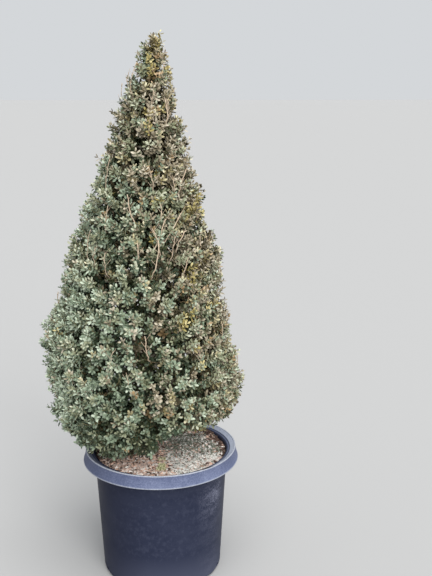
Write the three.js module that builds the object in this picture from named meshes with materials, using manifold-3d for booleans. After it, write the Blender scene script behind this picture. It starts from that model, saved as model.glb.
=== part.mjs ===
// A clipped boxwood cone growing in a black nursery pot. Millimetres, +Z up, the pot standing on z = 0.
// The front faces -Y. The crown is a set of foliage masses, each carried by its own bough.
import * as THREE from "three";
import { ConvexGeometry } from "three/addons/geometries/ConvexGeometry.js";
import { mergeVertices } from "three/addons/utils/BufferGeometryUtils.js";
import Module from "manifold-3d";

const wasm = await Module();
wasm.setup();

// Driving dimensions of the pot
const POT_HEIGHT = 360;
const POT_BASE_R = 167; // outside, just above the rounded foot
const POT_WALL_TOP_R = 186; // outside, just under the rim
const POT_FOOT_ROUND = 13; // radius of the rounded foot
const POT_WALL = 3;
const POT_FLOOR = 4;
const LIP_R = 208; // middle of the rounded top lip
const LIP_ROUND = 1.8; // radius of the lip's edge
const LIP_INSET = 2.5; // the band's inner side meets the ledge this far inside the lip
const LEDGE_DROP = 9; // from the lip down to the top of the wall
const LEDGE_THICK = 4;
const LEDGE_START = 4; // its slope starts this far outside the wall
const LEDGE_FALL = 6; // and the wall's inner edge lies this far under it
const BAND_R = 216; // outer radius at the lower edge of the rim's band
const BAND_DEPTH = 35;
const BEAD = 0.7; // how far the bead along its lower edge stands out
const BEAD_Z = 3; // the height over the lower edge at which it stands out most
const BEAD_TOP = 5; // and at which it ends
const DRAIN_COUNT = 8;
const DRAIN_R = 10;
const DRAIN_Z = 12;
const DRAIN_SIDES = 8;
const DRAIN_REACH = 40; // length of the cut, half of it outside the wall
const ROUND_STEPS = 36; // sides of everything turned about the pot's middle

// Driving dimensions of the potting mix
const MIX_Z = 337; // level round the trunk's foot
const MIX_WAVE = 4.5; // height of its slow waves
const MIX_WAVE_X = 43; // their length from left to right, for one radian
const MIX_WAVE_Y = 37; // and from front to back
const MIX_RIPPLE = 21; // length of the finer waves, for one radian
const MIX_RIPPLE_SHARE = 0.6; // their height, as a share of the slow waves'
const MIX_SETTLED = 0.6; // the mean level lies lower by this share of a wave
const MIX_FLAT_R = 62; // it is flat this far round the trunk's foot
const MIX_FLAT_FADE = 50; // and its waves reach their full height this much further out
const MIX_RINGS = [0.8, 0.55, 0.3, 0]; // where its top is divided, as shares of its radius
const MIX_GAP = 0.4; // between the mix and the pot's wall and floor
const MIX_EDGE = 1; // what lies nearer than this to the top's edge isn't moved

// Driving dimensions of the crown
const TIP_Z = 1474;
const TIP_R = 20;
const TIP_ROUND = 45; // height over which the tip is rounded off
const SIDE_SLOPE = 0.309; // radius gained for each unit down from the tip
const GIRTH = 268; // radius that the widest part comes to
const GIRTH_SHARP = 16; // how sharply the sloping side turns into the widest part
const WAIST_Z = 590; // below this level the crown rounds in
const SKIRT_Z = 366; // mean level of its lower edge
const SKIRT_RISE = 34; // the edge is this much higher on the right, and lower on the left
const SKIRT_POWER = 2.7; // squareness of the rounding
const AXIS_X = -45; // the crown stands left of the pot's middle
const AXIS_Y = 5;
const BEND_Z = 850; // above this level its axis bends back
const BEND_X = 43;
const BEND_POWER = 1.6;
const BULGE = 0.062; // the fuller left shoulder, as a share of the radius
const BULGE_Z = 690;
const BULGE_SPREAD = 55;
const OVAL = 0.018; // how far the crown is from round, as a share of the radius
const OVAL_TWIST = 170; // rise over which that turns by one radian
const LOBES = 0.016; // the same for its three slow lobes
const LOBES_TWIST = 110;
const CREASE_DEPTH = 16; // how far the outline dips where two masses meet
const CREASE_WIDTH = 26;
const HOLLOW = 0.42; // the bare inside, as a share of the radius
const HOLLOW_MIN_R = 14;
const LEAFY_DEPTH = 40; // the cores lie this far under the outline
const CORE_MIN_R = 6;
const HALF_SEAM = 3; // half of the gap between two cores
const CENTRE_SHARE = 0.66; // a mass's middle, as a share of the crown's radius there
const MASS_LIFT = 13; // most that a mass lies above or below its tier's level
const MIX_CLEAR = 12; // the lowest leaves stay this far above the potting mix
const POT_CLEAR = 1.5; // and this far off the pot

// Driving dimensions of the wood
const FOOT_GAP = 0.3; // between the trunk's cut and the mix
const FOOT = new THREE.Vector3(-36, 6, MIX_Z + FOOT_GAP);
const TRUNK_R = 18;
const TRUNK_TIP_R = 4.5;
const TRUNK_TOP_Z = 1286;
const TRUNK_POWER = 0.85; // its taper: at 1 it would be a plain cone
const TRUNK_SIDES = 10;
const TRUNK_STEPS = 20;
const FLARE_R = 12; // extra radius of the root flare at the ground
const FLARE_HEIGHT = 46;
const FLARE_LOBES = 5;
const FLARE_LOBED = 0.35; // how much the flare swells at its lobes, as a share
const BOUGH_TAPER = 0.42; // share of its thickness that a bough loses
const BOUGH_SAG = 7; // how far it hangs below the straight line
const BOUGH_SHORT = 9; // it ends this far inside the hollow's edge
const BOUGH_LOW = 14; // and this far below the middle of its mass
const STEM_SHARE = 0.56; // thickness of a mass's stem, as a share of its bough's
const STEM_TAPER = 0.3; // share of its thickness that a stem loses
const STEM_BEND = 0.4; // share of its length over which it keeps its bough's heading
const LIMB_SIDES = 6; // of a bough or a stem
const LIMB_STEPS = 3;
const CLEAR = 0.35; // gap between pieces that touch on the plant

// Driving dimensions of the twigs and leaves
const SPRIGS = 170;
const LEAF_LENGTH = 57;
const LEAF_WIDTH = 34;
const LEAF_ROOT = 2.2; // width and depth of a leaf's root
const LEAF_FOLD = 3; // how far its edges stand above its middle
const LEAF_SUNK = 1.6; // length of a leaf's root inside its twig
const LEAF_WIDEST = 0.46; // where it is widest, as a share of its length
const LEAF_VARIES = 0.1; // by this share, up or down
const PAIR_SPREAD = 0.86; // radians between a side leaf and its twig
const PAIR_BACK = 3; // from a twig's tip back to its pair of side leaves
const TIP_SUNK = 0.94; // how far a twig ends under the outline, as a share of a leaf
const PROUD = 3; // the longest sprigs stand this far out of the outline
const PROUD_SPREAD = 12; // and the shortest end this much further in
const SMALLEST_LEAF = 0.62; // share of its size that a leaf has at the crown's thin tip
const THIN_R = 120; // where the crown is thinner than this, leaves and cores' depths get smaller
const TWIG_R = 3; // at a twig's end
const TWIG_ROOT = 1.4; // how many times thicker it is at its root
const TWIG_SIDES = 3;
const TWIG_STEPS = 2;
const TWIGS_FROM = 0.45; // twigs leave their stem between these shares of its length
const TWIGS_TO = 0.95;
const HEADING_JITTER = 0.55; // how far a sprig's heading strays from straight out
const HEADING_LIFT = 0.32; // and how far it turns up

const GOLDEN_ANGLE = Math.PI * (3 - Math.sqrt(5));
const SLOPE_STEP = 2; // the outline's slope is taken over this much above and below
const SAME_POINT = 1e-3; // points nearer than this are one
const HALVINGS = 30; // tries in finding a level along the trunk

// The tiers of foliage masses, from the ground up
const TIERS = [
  { name: "skirt", count: 6, z: 468, turn: 0.32, boughDrop: 66, boughR: 9 },
  { name: "shoulder", count: 5, z: 688, turn: 0.85, boughDrop: 84, boughR: 8.5 },
  { name: "flank", count: 4, z: 900, turn: 0.2, boughDrop: 74, boughR: 7 },
  { name: "neck", count: 3, z: 1106, turn: 1.4, boughDrop: 48, boughR: 5 },
  { name: "tip", count: 1, z: 1330, turn: 0 },
];

const BARK = { color: 0x7d6a55, roughness: 0.9, metalness: 0 };
const GREENS = [0x6d7858, 0x767d5c, 0x65745a, 0x7f7f5e];
const POT_PLASTIC = { color: 0x2b2f3b, roughness: 0.5, metalness: 0 };
const BARK_MULCH = { color: 0x7a6455, roughness: 1, metalness: 0 };

// A repeatable number from 0 to 1 for item k of stream s
function chance(k, s) {
  const value = Math.sin(k * 12.9898 + s * 78.233) * 43758.5453;
  return value - Math.floor(value);
}

function clamp01(value) {
  return Math.min(1, Math.max(0, value));
}

// Solids

// The solid that a closed three.js geometry bounds
function solid(geometry) {
  geometry.deleteAttribute("normal");
  geometry.deleteAttribute("uv");
  const merged = mergeVertices(geometry, SAME_POINT);
  const index = merged.index.array;
  const kept = [];
  for (let i = 0; i < index.length; i += 3) {
    const [a, b, c] = [index[i], index[i + 1], index[i + 2]];
    if (a !== b && b !== c && c !== a) kept.push(a, b, c);
  }
  const mesh = new wasm.Mesh({
    numProp: 3,
    vertProperties: new Float32Array(merged.attributes.position.array),
    triVerts: new Uint32Array(kept),
  });
  return new wasm.Manifold(mesh);
}

// The outer shell of a solid's largest body: scraps are dropped and sealed hollows filled
function largestBody(made) {
  return made.decompose().reduce((a, b) => (b.volume() > a.volume() ? b : a));
}

function meshOf(made, name, look) {
  const { vertProperties, triVerts } = made.getMesh();
  const geometry = new THREE.BufferGeometry();
  geometry.setAttribute("position", new THREE.BufferAttribute(new Float32Array(vertProperties), 3));
  geometry.setIndex(new THREE.BufferAttribute(new Uint32Array(triVerts), 1));
  geometry.computeVertexNormals();
  const mesh = new THREE.Mesh(geometry, new THREE.MeshStandardMaterial(look));
  mesh.name = name;
  return mesh;
}

// Moves every vertex of a geometry to where place(point) puts it
function reshape(geometry, place) {
  const position = geometry.attributes.position;
  const point = new THREE.Vector3();
  for (let i = 0; i < position.count; i++) {
    place(point.fromBufferAttribute(position, i));
    position.setXYZ(i, point.x, point.y, point.z);
  }
  return geometry;
}

// A profile of (radius, height) points turned about +Z
function turned(points) {
  return new THREE.LatheGeometry(points, ROUND_STEPS).rotateX(Math.PI / 2);
}

// A round limb along a curve, flat at both ends, whose radius is radiusAt(share of length, angle)
function limb(curve, radiusAt, sides, steps) {
  const frames = curve.computeFrenetFrames(steps);
  const geometry = new THREE.CylinderGeometry(1, 1, 1, sides, steps);
  return reshape(geometry, (p) => {
    const share = clamp01(p.y + 0.5);
    const k = Math.round(share * steps);
    const radius = radiusAt(share, Math.atan2(p.z, p.x)) * Math.hypot(p.x, p.z);
    const angle = Math.atan2(p.z, p.x);
    const across = frames.normals[k].clone().multiplyScalar(-radius * Math.cos(angle));
    const beside = frames.binormals[k].clone().multiplyScalar(radius * Math.sin(angle));
    p.copy(curve.getPointAt(share)).add(across).add(beside);
  });
}

// The crown's outline

function axisX(z) {
  return AXIS_X + BEND_X * clamp01((z - BEND_Z) / (TIP_Z - BEND_Z)) ** BEND_POWER;
}

// How much smaller leaves are at a level: 1 is full size
function thinness(z) {
  const share = clamp01(crownRadius(Math.min(Math.max(z, WAIST_Z), TIP_Z)) / THIN_R);
  return SMALLEST_LEAF + (1 - SMALLEST_LEAF) * share;
}

// Radius of the crown at a level, before it is made uneven
function crownRadius(z) {
  const level = Math.max(z, WAIST_Z);
  const side = TIP_R + SIDE_SLOPE * (TIP_Z - level);
  const above = (side ** -GIRTH_SHARP + GIRTH ** -GIRTH_SHARP) ** (-1 / GIRTH_SHARP);
  if (z < WAIST_Z) {
    const depth = clamp01((WAIST_Z - z) / (WAIST_Z - SKIRT_Z));
    return above * (1 - depth ** SKIRT_POWER) ** (1 / SKIRT_POWER);
  }
  const cap = clamp01((z - TIP_Z + TIP_ROUND) / TIP_ROUND);
  return above * Math.sqrt(1 - cap * cap);
}

// How full the crown is at an azimuth and a level: 1 is the even cone
function fullness(angle, z) {
  const shoulder = Math.exp(-(((z - BULGE_Z) / BULGE_SPREAD) ** 2));
  const oval = OVAL * Math.sin(2 * angle + z / OVAL_TWIST);
  const lobes = LOBES * Math.sin(3 * angle - z / LOBES_TWIST + 1);
  return 1 - BULGE * shoulder * Math.cos(angle) + oval + lobes;
}

// The true place of a point given by azimuth, radius and level in the even cone
function crownPoint(angle, radius, z) {
  const wide = radius * fullness(angle, z);
  const below = Math.max(0, (WAIST_Z - z) / (WAIST_Z - SKIRT_Z));
  const rise = SKIRT_RISE * Math.cos(angle) * Math.min(1, below);
  return new THREE.Vector3(axisX(z) + wide * Math.cos(angle), AXIS_Y + wide * Math.sin(angle), z + rise);
}

// The level below which a share of the crown's surface lies, so that leaves are spread evenly
const LEVEL_STEPS = 240;
const levels = [SKIRT_Z];
const areaBelow = [0];
for (let i = 1; i <= LEVEL_STEPS; i++) {
  const z = SKIRT_Z + ((TIP_Z - SKIRT_Z) * i) / LEVEL_STEPS;
  const slant = Math.hypot(crownRadius(z) - crownRadius(levels[i - 1]), z - levels[i - 1]);
  areaBelow.push(areaBelow[i - 1] + slant * crownRadius(z));
  levels.push(z);
}

function levelAt(share) {
  const wanted = share * areaBelow[areaBelow.length - 1];
  const i = Math.max(1, areaBelow.findIndex((area) => area >= wanted));
  const part = (wanted - areaBelow[i - 1]) / (areaBelow[i] - areaBelow[i - 1]);
  return levels[i - 1] + part * (levels[i] - levels[i - 1]);
}

// The masses and their own spaces

const masses = [];
for (const tier of TIERS) {
  for (let i = 0; i < tier.count; i++) {
    const alone = tier.count === 1;
    const angle = tier.turn + (2 * Math.PI * i) / tier.count;
    const z = tier.z + (alone ? 0 : MASS_LIFT * (2 * chance(i, tier.count) - 1));
    const centre = crownPoint(angle, alone ? 0 : crownRadius(z) * CENTRE_SHARE, z);
    masses.push({ ...tier, alone, angle, z, centre, label: alone ? tier.name : `${tier.name}_${i + 1}` });
  }
}

// How far inside its mass's own space a point lies: negative outside
function depthInSpace(mass, point) {
  let depth = Infinity;
  for (const other of masses) {
    if (other === mass) continue;
    const across = other.centre.clone().sub(mass.centre);
    const middle = other.centre.clone().add(mass.centre).multiplyScalar(0.5);
    depth = Math.min(depth, middle.sub(point).dot(across.normalize()));
  }
  return depth;
}

function massAt(point) {
  return masses.reduce((a, b) => (b.centre.distanceTo(point) < a.centre.distanceTo(point) ? b : a));
}

// The even shell that the cores are cut from: the crown less its leafy depth and its bare inside
const SHELL_LEVELS = [394, 440, 520, 690, 860, 1130, 1420];
const SHELL_SIDES = 20;
const HOLLOW_LEVELS = [394, 640, 1130, 1296];

function hollowRadius(z) {
  return Math.max(HOLLOW_MIN_R, crownRadius(Math.max(z, WAIST_Z)) * HOLLOW);
}

function crownShell() {
  const coreRadius = (z) => Math.max(CORE_MIN_R, crownRadius(z) - LEAFY_DEPTH * thinness(z));
  const outside = SHELL_LEVELS.map((z) => new THREE.Vector2(coreRadius(z), z));
  const inside = HOLLOW_LEVELS.map((z) => new THREE.Vector2(hollowRadius(z), z));
  const profile = [
    ...outside,
    new THREE.Vector2(0, SHELL_LEVELS[SHELL_LEVELS.length - 1]),
    new THREE.Vector2(0, HOLLOW_LEVELS[HOLLOW_LEVELS.length - 1]),
    ...inside.reverse(),
    outside[0].clone(),
  ];
  const geometry = new THREE.LatheGeometry(profile, SHELL_SIDES).rotateX(Math.PI / 2);
  const uneven = (p) => p.copy(crownPoint(Math.atan2(p.y, p.x), Math.hypot(p.x, p.y), p.z));
  return solid(reshape(geometry, uneven));
}

// A block that fills the side of a plane that its normal points to
function halfSpace(point, normal) {
  const size = 4000;
  const box = new THREE.BoxGeometry(size, size, size).translate(0, 0, size / 2);
  const turn = new THREE.Quaternion().setFromUnitVectors(new THREE.Vector3(0, 0, 1), normal);
  return solid(box.applyQuaternion(turn).translate(point.x, point.y, point.z));
}

function core(mass, shell) {
  let made = shell;
  for (const other of masses) {
    if (other === mass) continue;
    const inward = mass.centre.clone().sub(other.centre).normalize();
    const middle = mass.centre.clone().add(other.centre).multiplyScalar(0.5);
    made = made.intersect(halfSpace(middle.addScaledVector(inward, HALF_SEAM), inward));
  }
  return made;
}

// The wood

const trunkCurve = new THREE.CatmullRomCurve3([
  FOOT,
  new THREE.Vector3(-41, 2, 430),
  new THREE.Vector3(-33, -4, 610),
  new THREE.Vector3(-44, 8, 800),
  new THREE.Vector3(-37, 2, 980),
  new THREE.Vector3(-30, 7, 1140),
  new THREE.Vector3(-20, 5, TRUNK_TOP_Z),
]);

function trunkRadius(share, angle) {
  const height = share * (TRUNK_TOP_Z - FOOT.z);
  const lobed = 1 + FLARE_LOBED * Math.cos(FLARE_LOBES * angle);
  const flare = Math.exp(-height / FLARE_HEIGHT) * FLARE_R * lobed;
  return TRUNK_TIP_R + (TRUNK_R - TRUNK_TIP_R) * (1 - share) ** TRUNK_POWER + flare;
}

function trunk(extra) {
  const radiusAt = (share, angle) => trunkRadius(share, angle) + extra;
  const geometry = limb(trunkCurve, radiusAt, TRUNK_SIDES, TRUNK_STEPS);
  // the cut at the ground is level
  return solid(reshape(geometry, (p) => p.setZ(Math.max(p.z, FOOT.z))));
}

// The point of the trunk's own line at a level
function trunkPointAt(z) {
  let low = 0;
  let high = 1;
  for (let i = 0; i < HALVINGS; i++) {
    const middle = (low + high) / 2;
    if (trunkCurve.getPointAt(middle).z < z) low = middle;
    else high = middle;
  }
  return trunkCurve.getPointAt(low);
}

// Each mass's bough runs from inside the trunk, out and up, to just short of the mass's core
function boughCurve(mass) {
  const end = crownPoint(mass.angle, hollowRadius(mass.z) - BOUGH_SHORT, mass.z - BOUGH_LOW);
  const start = trunkPointAt(mass.z - mass.boughDrop);
  const bend = start.clone().lerp(end, 0.5);
  bend.z -= BOUGH_SAG;
  return new THREE.QuadraticBezierCurve3(start, bend, end);
}

function bough(mass, extra) {
  const radiusAt = (share) => mass.boughR * (1 - BOUGH_TAPER * share) + extra;
  return solid(limb(boughCurve(mass), radiusAt, LIMB_SIDES, LIMB_STEPS));
}

// The stem of a mass starts clear of its bough's tip, or of the trunk's, and ends in the mass's middle
function stemCurve(mass) {
  const before = mass.alone ? trunkCurve : boughCurve(mass);
  const heading = before.getTangentAt(1);
  const start = before.getPointAt(1).addScaledVector(heading, CLEAR);
  const bend = start.clone().addScaledVector(heading, start.distanceTo(mass.centre) * STEM_BEND);
  return new THREE.QuadraticBezierCurve3(start, bend, mass.centre);
}

// Twigs and leaves

// A keeled leaf of eight faces, from its root along +X, its upper side to +Z
function leaf(scale) {
  const widest = LEAF_WIDEST * LEAF_LENGTH;
  const points = [
    new THREE.Vector3(-LEAF_SUNK, LEAF_ROOT / 2, 0),
    new THREE.Vector3(-LEAF_SUNK, -LEAF_ROOT / 2, 0),
    new THREE.Vector3(-LEAF_SUNK, 0, -LEAF_ROOT),
    new THREE.Vector3(widest, LEAF_WIDTH / 2, LEAF_FOLD),
    new THREE.Vector3(widest, -LEAF_WIDTH / 2, LEAF_FOLD),
    new THREE.Vector3(LEAF_LENGTH, 0, 0),
  ];
  return new ConvexGeometry(points).scale(scale, scale, scale);
}

// Where sprig k of a count ends on the outline, and the way it points. Every count is spread evenly.
function sprigEnd(k, count) {
  const z = levelAt(k / (count - 1));
  const angle = k * GOLDEN_ANGLE;
  const below = Math.max(SKIRT_Z, z - SLOPE_STEP);
  const above = Math.min(TIP_Z, z + SLOPE_STEP);
  const steep = (crownRadius(above) - crownRadius(below)) / (above - below);
  const out = new THREE.Vector3(Math.cos(angle), Math.sin(angle), -steep).normalize();
  const jitter = new THREE.Vector3(chance(k, 1) - 0.5, chance(k, 2) - 0.5, chance(k, 3) - 0.5);
  const heading = out.clone().addScaledVector(jitter, HEADING_JITTER);
  heading.z += HEADING_LIFT;
  heading.normalize();
  const end = crownPoint(angle, crownRadius(z), z);
  const mass = massAt(end);
  const crease = CREASE_DEPTH * Math.exp(-Math.max(0, depthInSpace(mass, end)) / CREASE_WIDTH);
  end.addScaledVector(out, PROUD - PROUD_SPREAD * chance(k, 4) - crease);
  return { k, mass, end, heading };
}

// A twig from the stem to the sprig's end, with a pair of side leaves and a leaf at its tip
function sprig({ k, end, heading }, stem) {
  const size = thinness(end.z) * (1 + LEAF_VARIES * (2 * chance(k, 5) - 1));
  const tip = end.clone().addScaledVector(heading, -TIP_SUNK * LEAF_LENGTH * size);
  const elbow = tip.clone().addScaledVector(heading, -LEAFY_DEPTH);
  const root = stem.getPointAt(TWIGS_TO - (TWIGS_TO - TWIGS_FROM) * chance(k, 6));
  const curve = new THREE.QuadraticBezierCurve3(root, elbow, tip);
  const radiusAt = (share) => TWIG_R * (TWIG_ROOT - (TWIG_ROOT - 1) * share);
  const pieces = [limb(curve, radiusAt, TWIG_SIDES, TWIG_STEPS)];
  const side = new THREE.Vector3(-heading.y, heading.x, 0.001).normalize();
  side.applyAxisAngle(heading, Math.PI * chance(k, 7));
  const node = tip.clone().addScaledVector(heading, -PAIR_BACK);
  for (const turn of [-PAIR_SPREAD, PAIR_SPREAD]) {
    const along = heading.clone().applyAxisAngle(side, turn);
    pieces.push(placedLeaf(node, along, heading, size));
  }
  pieces.push(placedLeaf(tip, heading, side, size));
  return pieces;
}

// A leaf rooted at a node, running along a way, its upper side turned to face as nearly as it can
function placedLeaf(node, along, face, size) {
  const across = new THREE.Vector3().crossVectors(face, along).normalize();
  const upper = new THREE.Vector3().crossVectors(along, across);
  return leaf(size).applyMatrix4(new THREE.Matrix4().makeBasis(along, across, upper).setPosition(node));
}

// True if every vertex of a piece lies inside the mass's own space, clear of the potting mix
function keepsToSpace(mass, geometry) {
  const position = geometry.attributes.position;
  const point = new THREE.Vector3();
  for (let i = 0; i < position.count; i++) {
    point.fromBufferAttribute(position, i);
    if (depthInSpace(mass, point) < CLEAR) return false;
    if (point.z < MIX_Z + MIX_CLEAR) return false;
  }
  return true;
}

// A mass: core, stem, twigs and leaves in one. What would leave its space or touch a limb is skipped.
function foliage(mass, shell, obstacles, ends) {
  const stem = stemCurve(mass);
  const stemR = mass.alone ? TRUNK_TIP_R : mass.boughR * STEM_SHARE;
  const radiusAt = (share) => stemR * (1 - STEM_TAPER * share);
  const stemSolid = solid(limb(stem, radiusAt, LIMB_SIDES, LIMB_STEPS));
  const parts = [core(mass, shell).subtract(obstacles), stemSolid];
  for (const end of ends.filter((e) => e.mass === mass)) {
    for (const piece of sprig(end, stem)) {
      if (!keepsToSpace(mass, piece)) continue;
      const made = solid(piece);
      if (made.intersect(obstacles).isEmpty()) parts.push(made);
    }
  }
  return largestBody(wasm.Manifold.union(parts));
}

// The pot

function potProfile() {
  const wallFoot = POT_BASE_R - POT_FOOT_ROUND;
  const bandZ = POT_HEIGHT - BAND_DEPTH;
  const ledgeZ = POT_HEIGHT - LEDGE_DROP;
  const path = new THREE.Path();
  path.moveTo(0, 0);
  path.lineTo(wallFoot, 0);
  path.absarc(wallFoot, POT_FOOT_ROUND, POT_FOOT_ROUND, -Math.PI / 2, 0, false);
  path.lineTo(POT_WALL_TOP_R, ledgeZ - LEDGE_THICK);
  path.lineTo(LIP_R - LIP_INSET, POT_HEIGHT - LEDGE_THICK);
  path.lineTo(BAND_R - POT_WALL, bandZ);
  path.lineTo(BAND_R, bandZ);
  path.lineTo(BAND_R + BEAD, bandZ + BEAD_Z);
  path.lineTo(BAND_R - BEAD, bandZ + BEAD_TOP);
  path.absarc(LIP_R, POT_HEIGHT - LIP_ROUND, LIP_ROUND, 0, Math.PI, false);
  path.lineTo(POT_WALL_TOP_R + LEDGE_START, ledgeZ);
  path.lineTo(POT_WALL_TOP_R - POT_WALL, ledgeZ - LEDGE_FALL);
  path.lineTo(POT_BASE_R - POT_WALL, POT_FOOT_ROUND);
  path.lineTo(wallFoot, POT_FLOOR);
  path.lineTo(0, POT_FLOOR);
  // an arc gets twice as many steps as a line is asked for
  return path.getPoints(1);
}

function pot() {
  let made = solid(turned(potProfile()));
  for (let i = 0; i < DRAIN_COUNT; i++) {
    const drill = new THREE.CylinderGeometry(DRAIN_R, DRAIN_R, DRAIN_REACH, DRAIN_SIDES);
    drill.rotateZ(Math.PI / 2).translate(POT_BASE_R, 0, DRAIN_Z);
    drill.rotateZ((2 * Math.PI * (i + 0.5)) / DRAIN_COUNT);
    made = made.subtract(solid(drill));
  }
  return made;
}

// Inner radius of the pot's wall at a level
function potInside(z) {
  const share = (z - POT_FOOT_ROUND) / (POT_HEIGHT - LEDGE_DROP - LEDGE_FALL - POT_FOOT_ROUND);
  return POT_BASE_R - POT_WALL + (POT_WALL_TOP_R - POT_BASE_R) * share;
}

// Height of the potting mix above its level at the trunk's foot
function mixHeight(x, y) {
  const waves = Math.sin(x / MIX_WAVE_X + 1) * Math.cos(y / MIX_WAVE_Y);
  const ripples = MIX_RIPPLE_SHARE * Math.sin((x - y) / MIX_RIPPLE);
  const away = clamp01((Math.hypot(x - FOOT.x, y - FOOT.y) - MIX_FLAT_R) / MIX_FLAT_FADE);
  return MIX_WAVE * (waves + ripples - MIX_SETTLED) * away;
}

function pottingMix() {
  const edge = potInside(MIX_Z) - MIX_GAP;
  const points = [
    new THREE.Vector2(0, POT_FLOOR + MIX_GAP),
    new THREE.Vector2(POT_BASE_R - POT_FOOT_ROUND - MIX_GAP, POT_FLOOR + MIX_GAP),
    new THREE.Vector2(POT_BASE_R - POT_WALL - MIX_GAP, POT_FOOT_ROUND + MIX_GAP),
    new THREE.Vector2(edge, MIX_Z),
  ];
  for (const share of MIX_RINGS) points.push(new THREE.Vector2(edge * share, MIX_Z));
  const geometry = turned(points);
  return solid(
    reshape(geometry, (p) => {
      const inner = Math.hypot(p.x, p.y) < edge - MIX_EDGE;
      if (p.z > MIX_Z - MIX_EDGE && inner) p.z += mixHeight(p.x, p.y);
    }),
  );
}

// The whole plant

const plant = new THREE.Group();
plant.add(meshOf(pot(), "pot", POT_PLASTIC));
plant.add(meshOf(pottingMix(), "potting_mix", BARK_MULCH));
plant.add(meshOf(trunk(0), "trunk", BARK));

const wideTrunk = trunk(CLEAR);
const rimSpace = turned([
  new THREE.Vector2(0, 0),
  new THREE.Vector2(BAND_R + POT_CLEAR, 0),
  new THREE.Vector2(BAND_R + POT_CLEAR, POT_HEIGHT + POT_CLEAR),
  new THREE.Vector2(POT_WALL_TOP_R, POT_HEIGHT + POT_CLEAR),
  new THREE.Vector2(POT_WALL_TOP_R - POT_WALL, MIX_Z),
  new THREE.Vector2(0, MIX_Z),
]);
const boughMasses = masses.filter((mass) => !mass.alone);
const wideLimbs = boughMasses.map((mass) => bough(mass, CLEAR));
const obstacles = wasm.Manifold.union([wideTrunk, solid(rimSpace), ...wideLimbs]);
for (const mass of boughMasses) {
  const made = largestBody(bough(mass, 0).subtract(wideTrunk));
  plant.add(meshOf(made, `bough_${mass.label}`, BARK));
}

const shell = crownShell();
const ends = Array.from({ length: SPRIGS }, (_, k) => sprigEnd(k, SPRIGS));
masses.forEach((mass, i) => {
  const look = { color: GREENS[i % GREENS.length], roughness: 0.6, metalness: 0 };
  plant.add(meshOf(foliage(mass, shell, obstacles, ends), `foliage_${mass.label}`, look));
});

export default plant;
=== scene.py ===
import math

import bpy
import numpy as np
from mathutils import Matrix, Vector


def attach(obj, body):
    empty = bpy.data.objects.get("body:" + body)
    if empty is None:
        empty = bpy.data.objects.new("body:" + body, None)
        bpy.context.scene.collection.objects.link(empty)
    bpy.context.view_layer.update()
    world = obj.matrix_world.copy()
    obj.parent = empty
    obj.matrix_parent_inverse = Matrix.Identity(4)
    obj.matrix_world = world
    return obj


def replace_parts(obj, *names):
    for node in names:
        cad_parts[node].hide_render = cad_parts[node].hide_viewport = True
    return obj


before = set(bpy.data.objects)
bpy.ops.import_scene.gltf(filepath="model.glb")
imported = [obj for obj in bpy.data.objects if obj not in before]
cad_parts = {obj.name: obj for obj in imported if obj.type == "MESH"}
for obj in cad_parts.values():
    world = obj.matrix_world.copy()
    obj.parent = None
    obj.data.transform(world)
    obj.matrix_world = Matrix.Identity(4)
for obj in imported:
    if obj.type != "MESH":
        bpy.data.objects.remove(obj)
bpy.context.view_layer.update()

# Lengths are in millimetres up to the point where a mesh is made. A name or a rule that is also in
# the part's source is the same there.
MM = 0.001

# The pot
POT_HEIGHT = 360
POT_BASE_R = 167
POT_WALL_TOP_R = 186
POT_FOOT_ROUND = 13
POT_WALL = 3
POT_FLOOR = 4
POT_EDGE_ROUND = 5  # of the wall's inner top edge
DISH_INSET = 30  # the underside and the floor change their slope this far inside the foot
LIP_R = 208
LIP_ROUND = 1.8
LEDGE_DROP = 9
LEDGE_THICK = 4
LEDGE_FALL = 6  # the wall's inside keeps its slope up to this far below the ledge
BAND_R = 216
BAND_DEPTH = 35
BAND_Z = POT_HEIGHT - BAND_DEPTH
BEAD_ROUND = 2
BEAD_INSET = 0.9
DRAIN_COUNT = 8
DRAIN_R = 10
DRAIN_Z = 12
DRAIN_REACH = (-22, 12)  # ends of the cut, from the wall's radius
TURN_STEPS = 144

# The potting mix
MIX_Z = 337
MIX_WAVE = 4.5
MIX_WAVE_X = 43
MIX_WAVE_Y = 37
MIX_RIPPLE = 21
MIX_RIPPLE_SHARE = 0.6
MIX_SETTLED = 0.6
MIX_FLAT = (62, 112)  # the waves begin between these distances from the trunk
MIX_GAP = 0.4
BANK = 7  # height of the bank along the wall on the right
BANK_R = (146, 176)  # radii between which it rises
BANK_X = (70, 130)
CRACK_TURN = -0.72  # azimuth of a dark crack near the wall at the front right
CRACK_R = 161
CRACK_SLANT = 75  # radius gained for one radian along it
CRACK_LONG = 0.13
CRACK_WIDE = 5.5
CRACK_DEPTH = 20
CHIPS = 6400
CLIPPINGS = 8000
MOSS_LEAVES = 440

# The crown
TIP_Z = 1474
TIP_R = 20
TIP_ROUND = 45
SIDE_SLOPE = 0.309
GIRTH = 268
GIRTH_SHARP = 16
WAIST_Z = 590
SKIRT_Z = 366
SKIRT_RISE = 34
SKIRT_POWER = 2.7
AXIS_X = -45
AXIS_Y = 5
BEND_Z = 850
BEND_X = 43
BEND_POWER = 1.6
BULGE = 0.062
BULGE_Z = 690
BULGE_SPREAD = 55
OVAL = 0.018
OVAL_TWIST = 170
LOBES = 0.016
LOBES_TWIST = 110
CREASE_DEPTH = 16
CREASE_WIDTH = 26
HOLLOW = 0.42
HOLLOW_MIN_R = 14
LEAFY_DEPTH = 40
CENTRE_SHARE = 0.66
MASS_LIFT = 13
MIX_CLEAR = 12
POT_CLEAR = 1.5
LEVEL_STEPS = 240
SLOPE_STEP = 2

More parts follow.
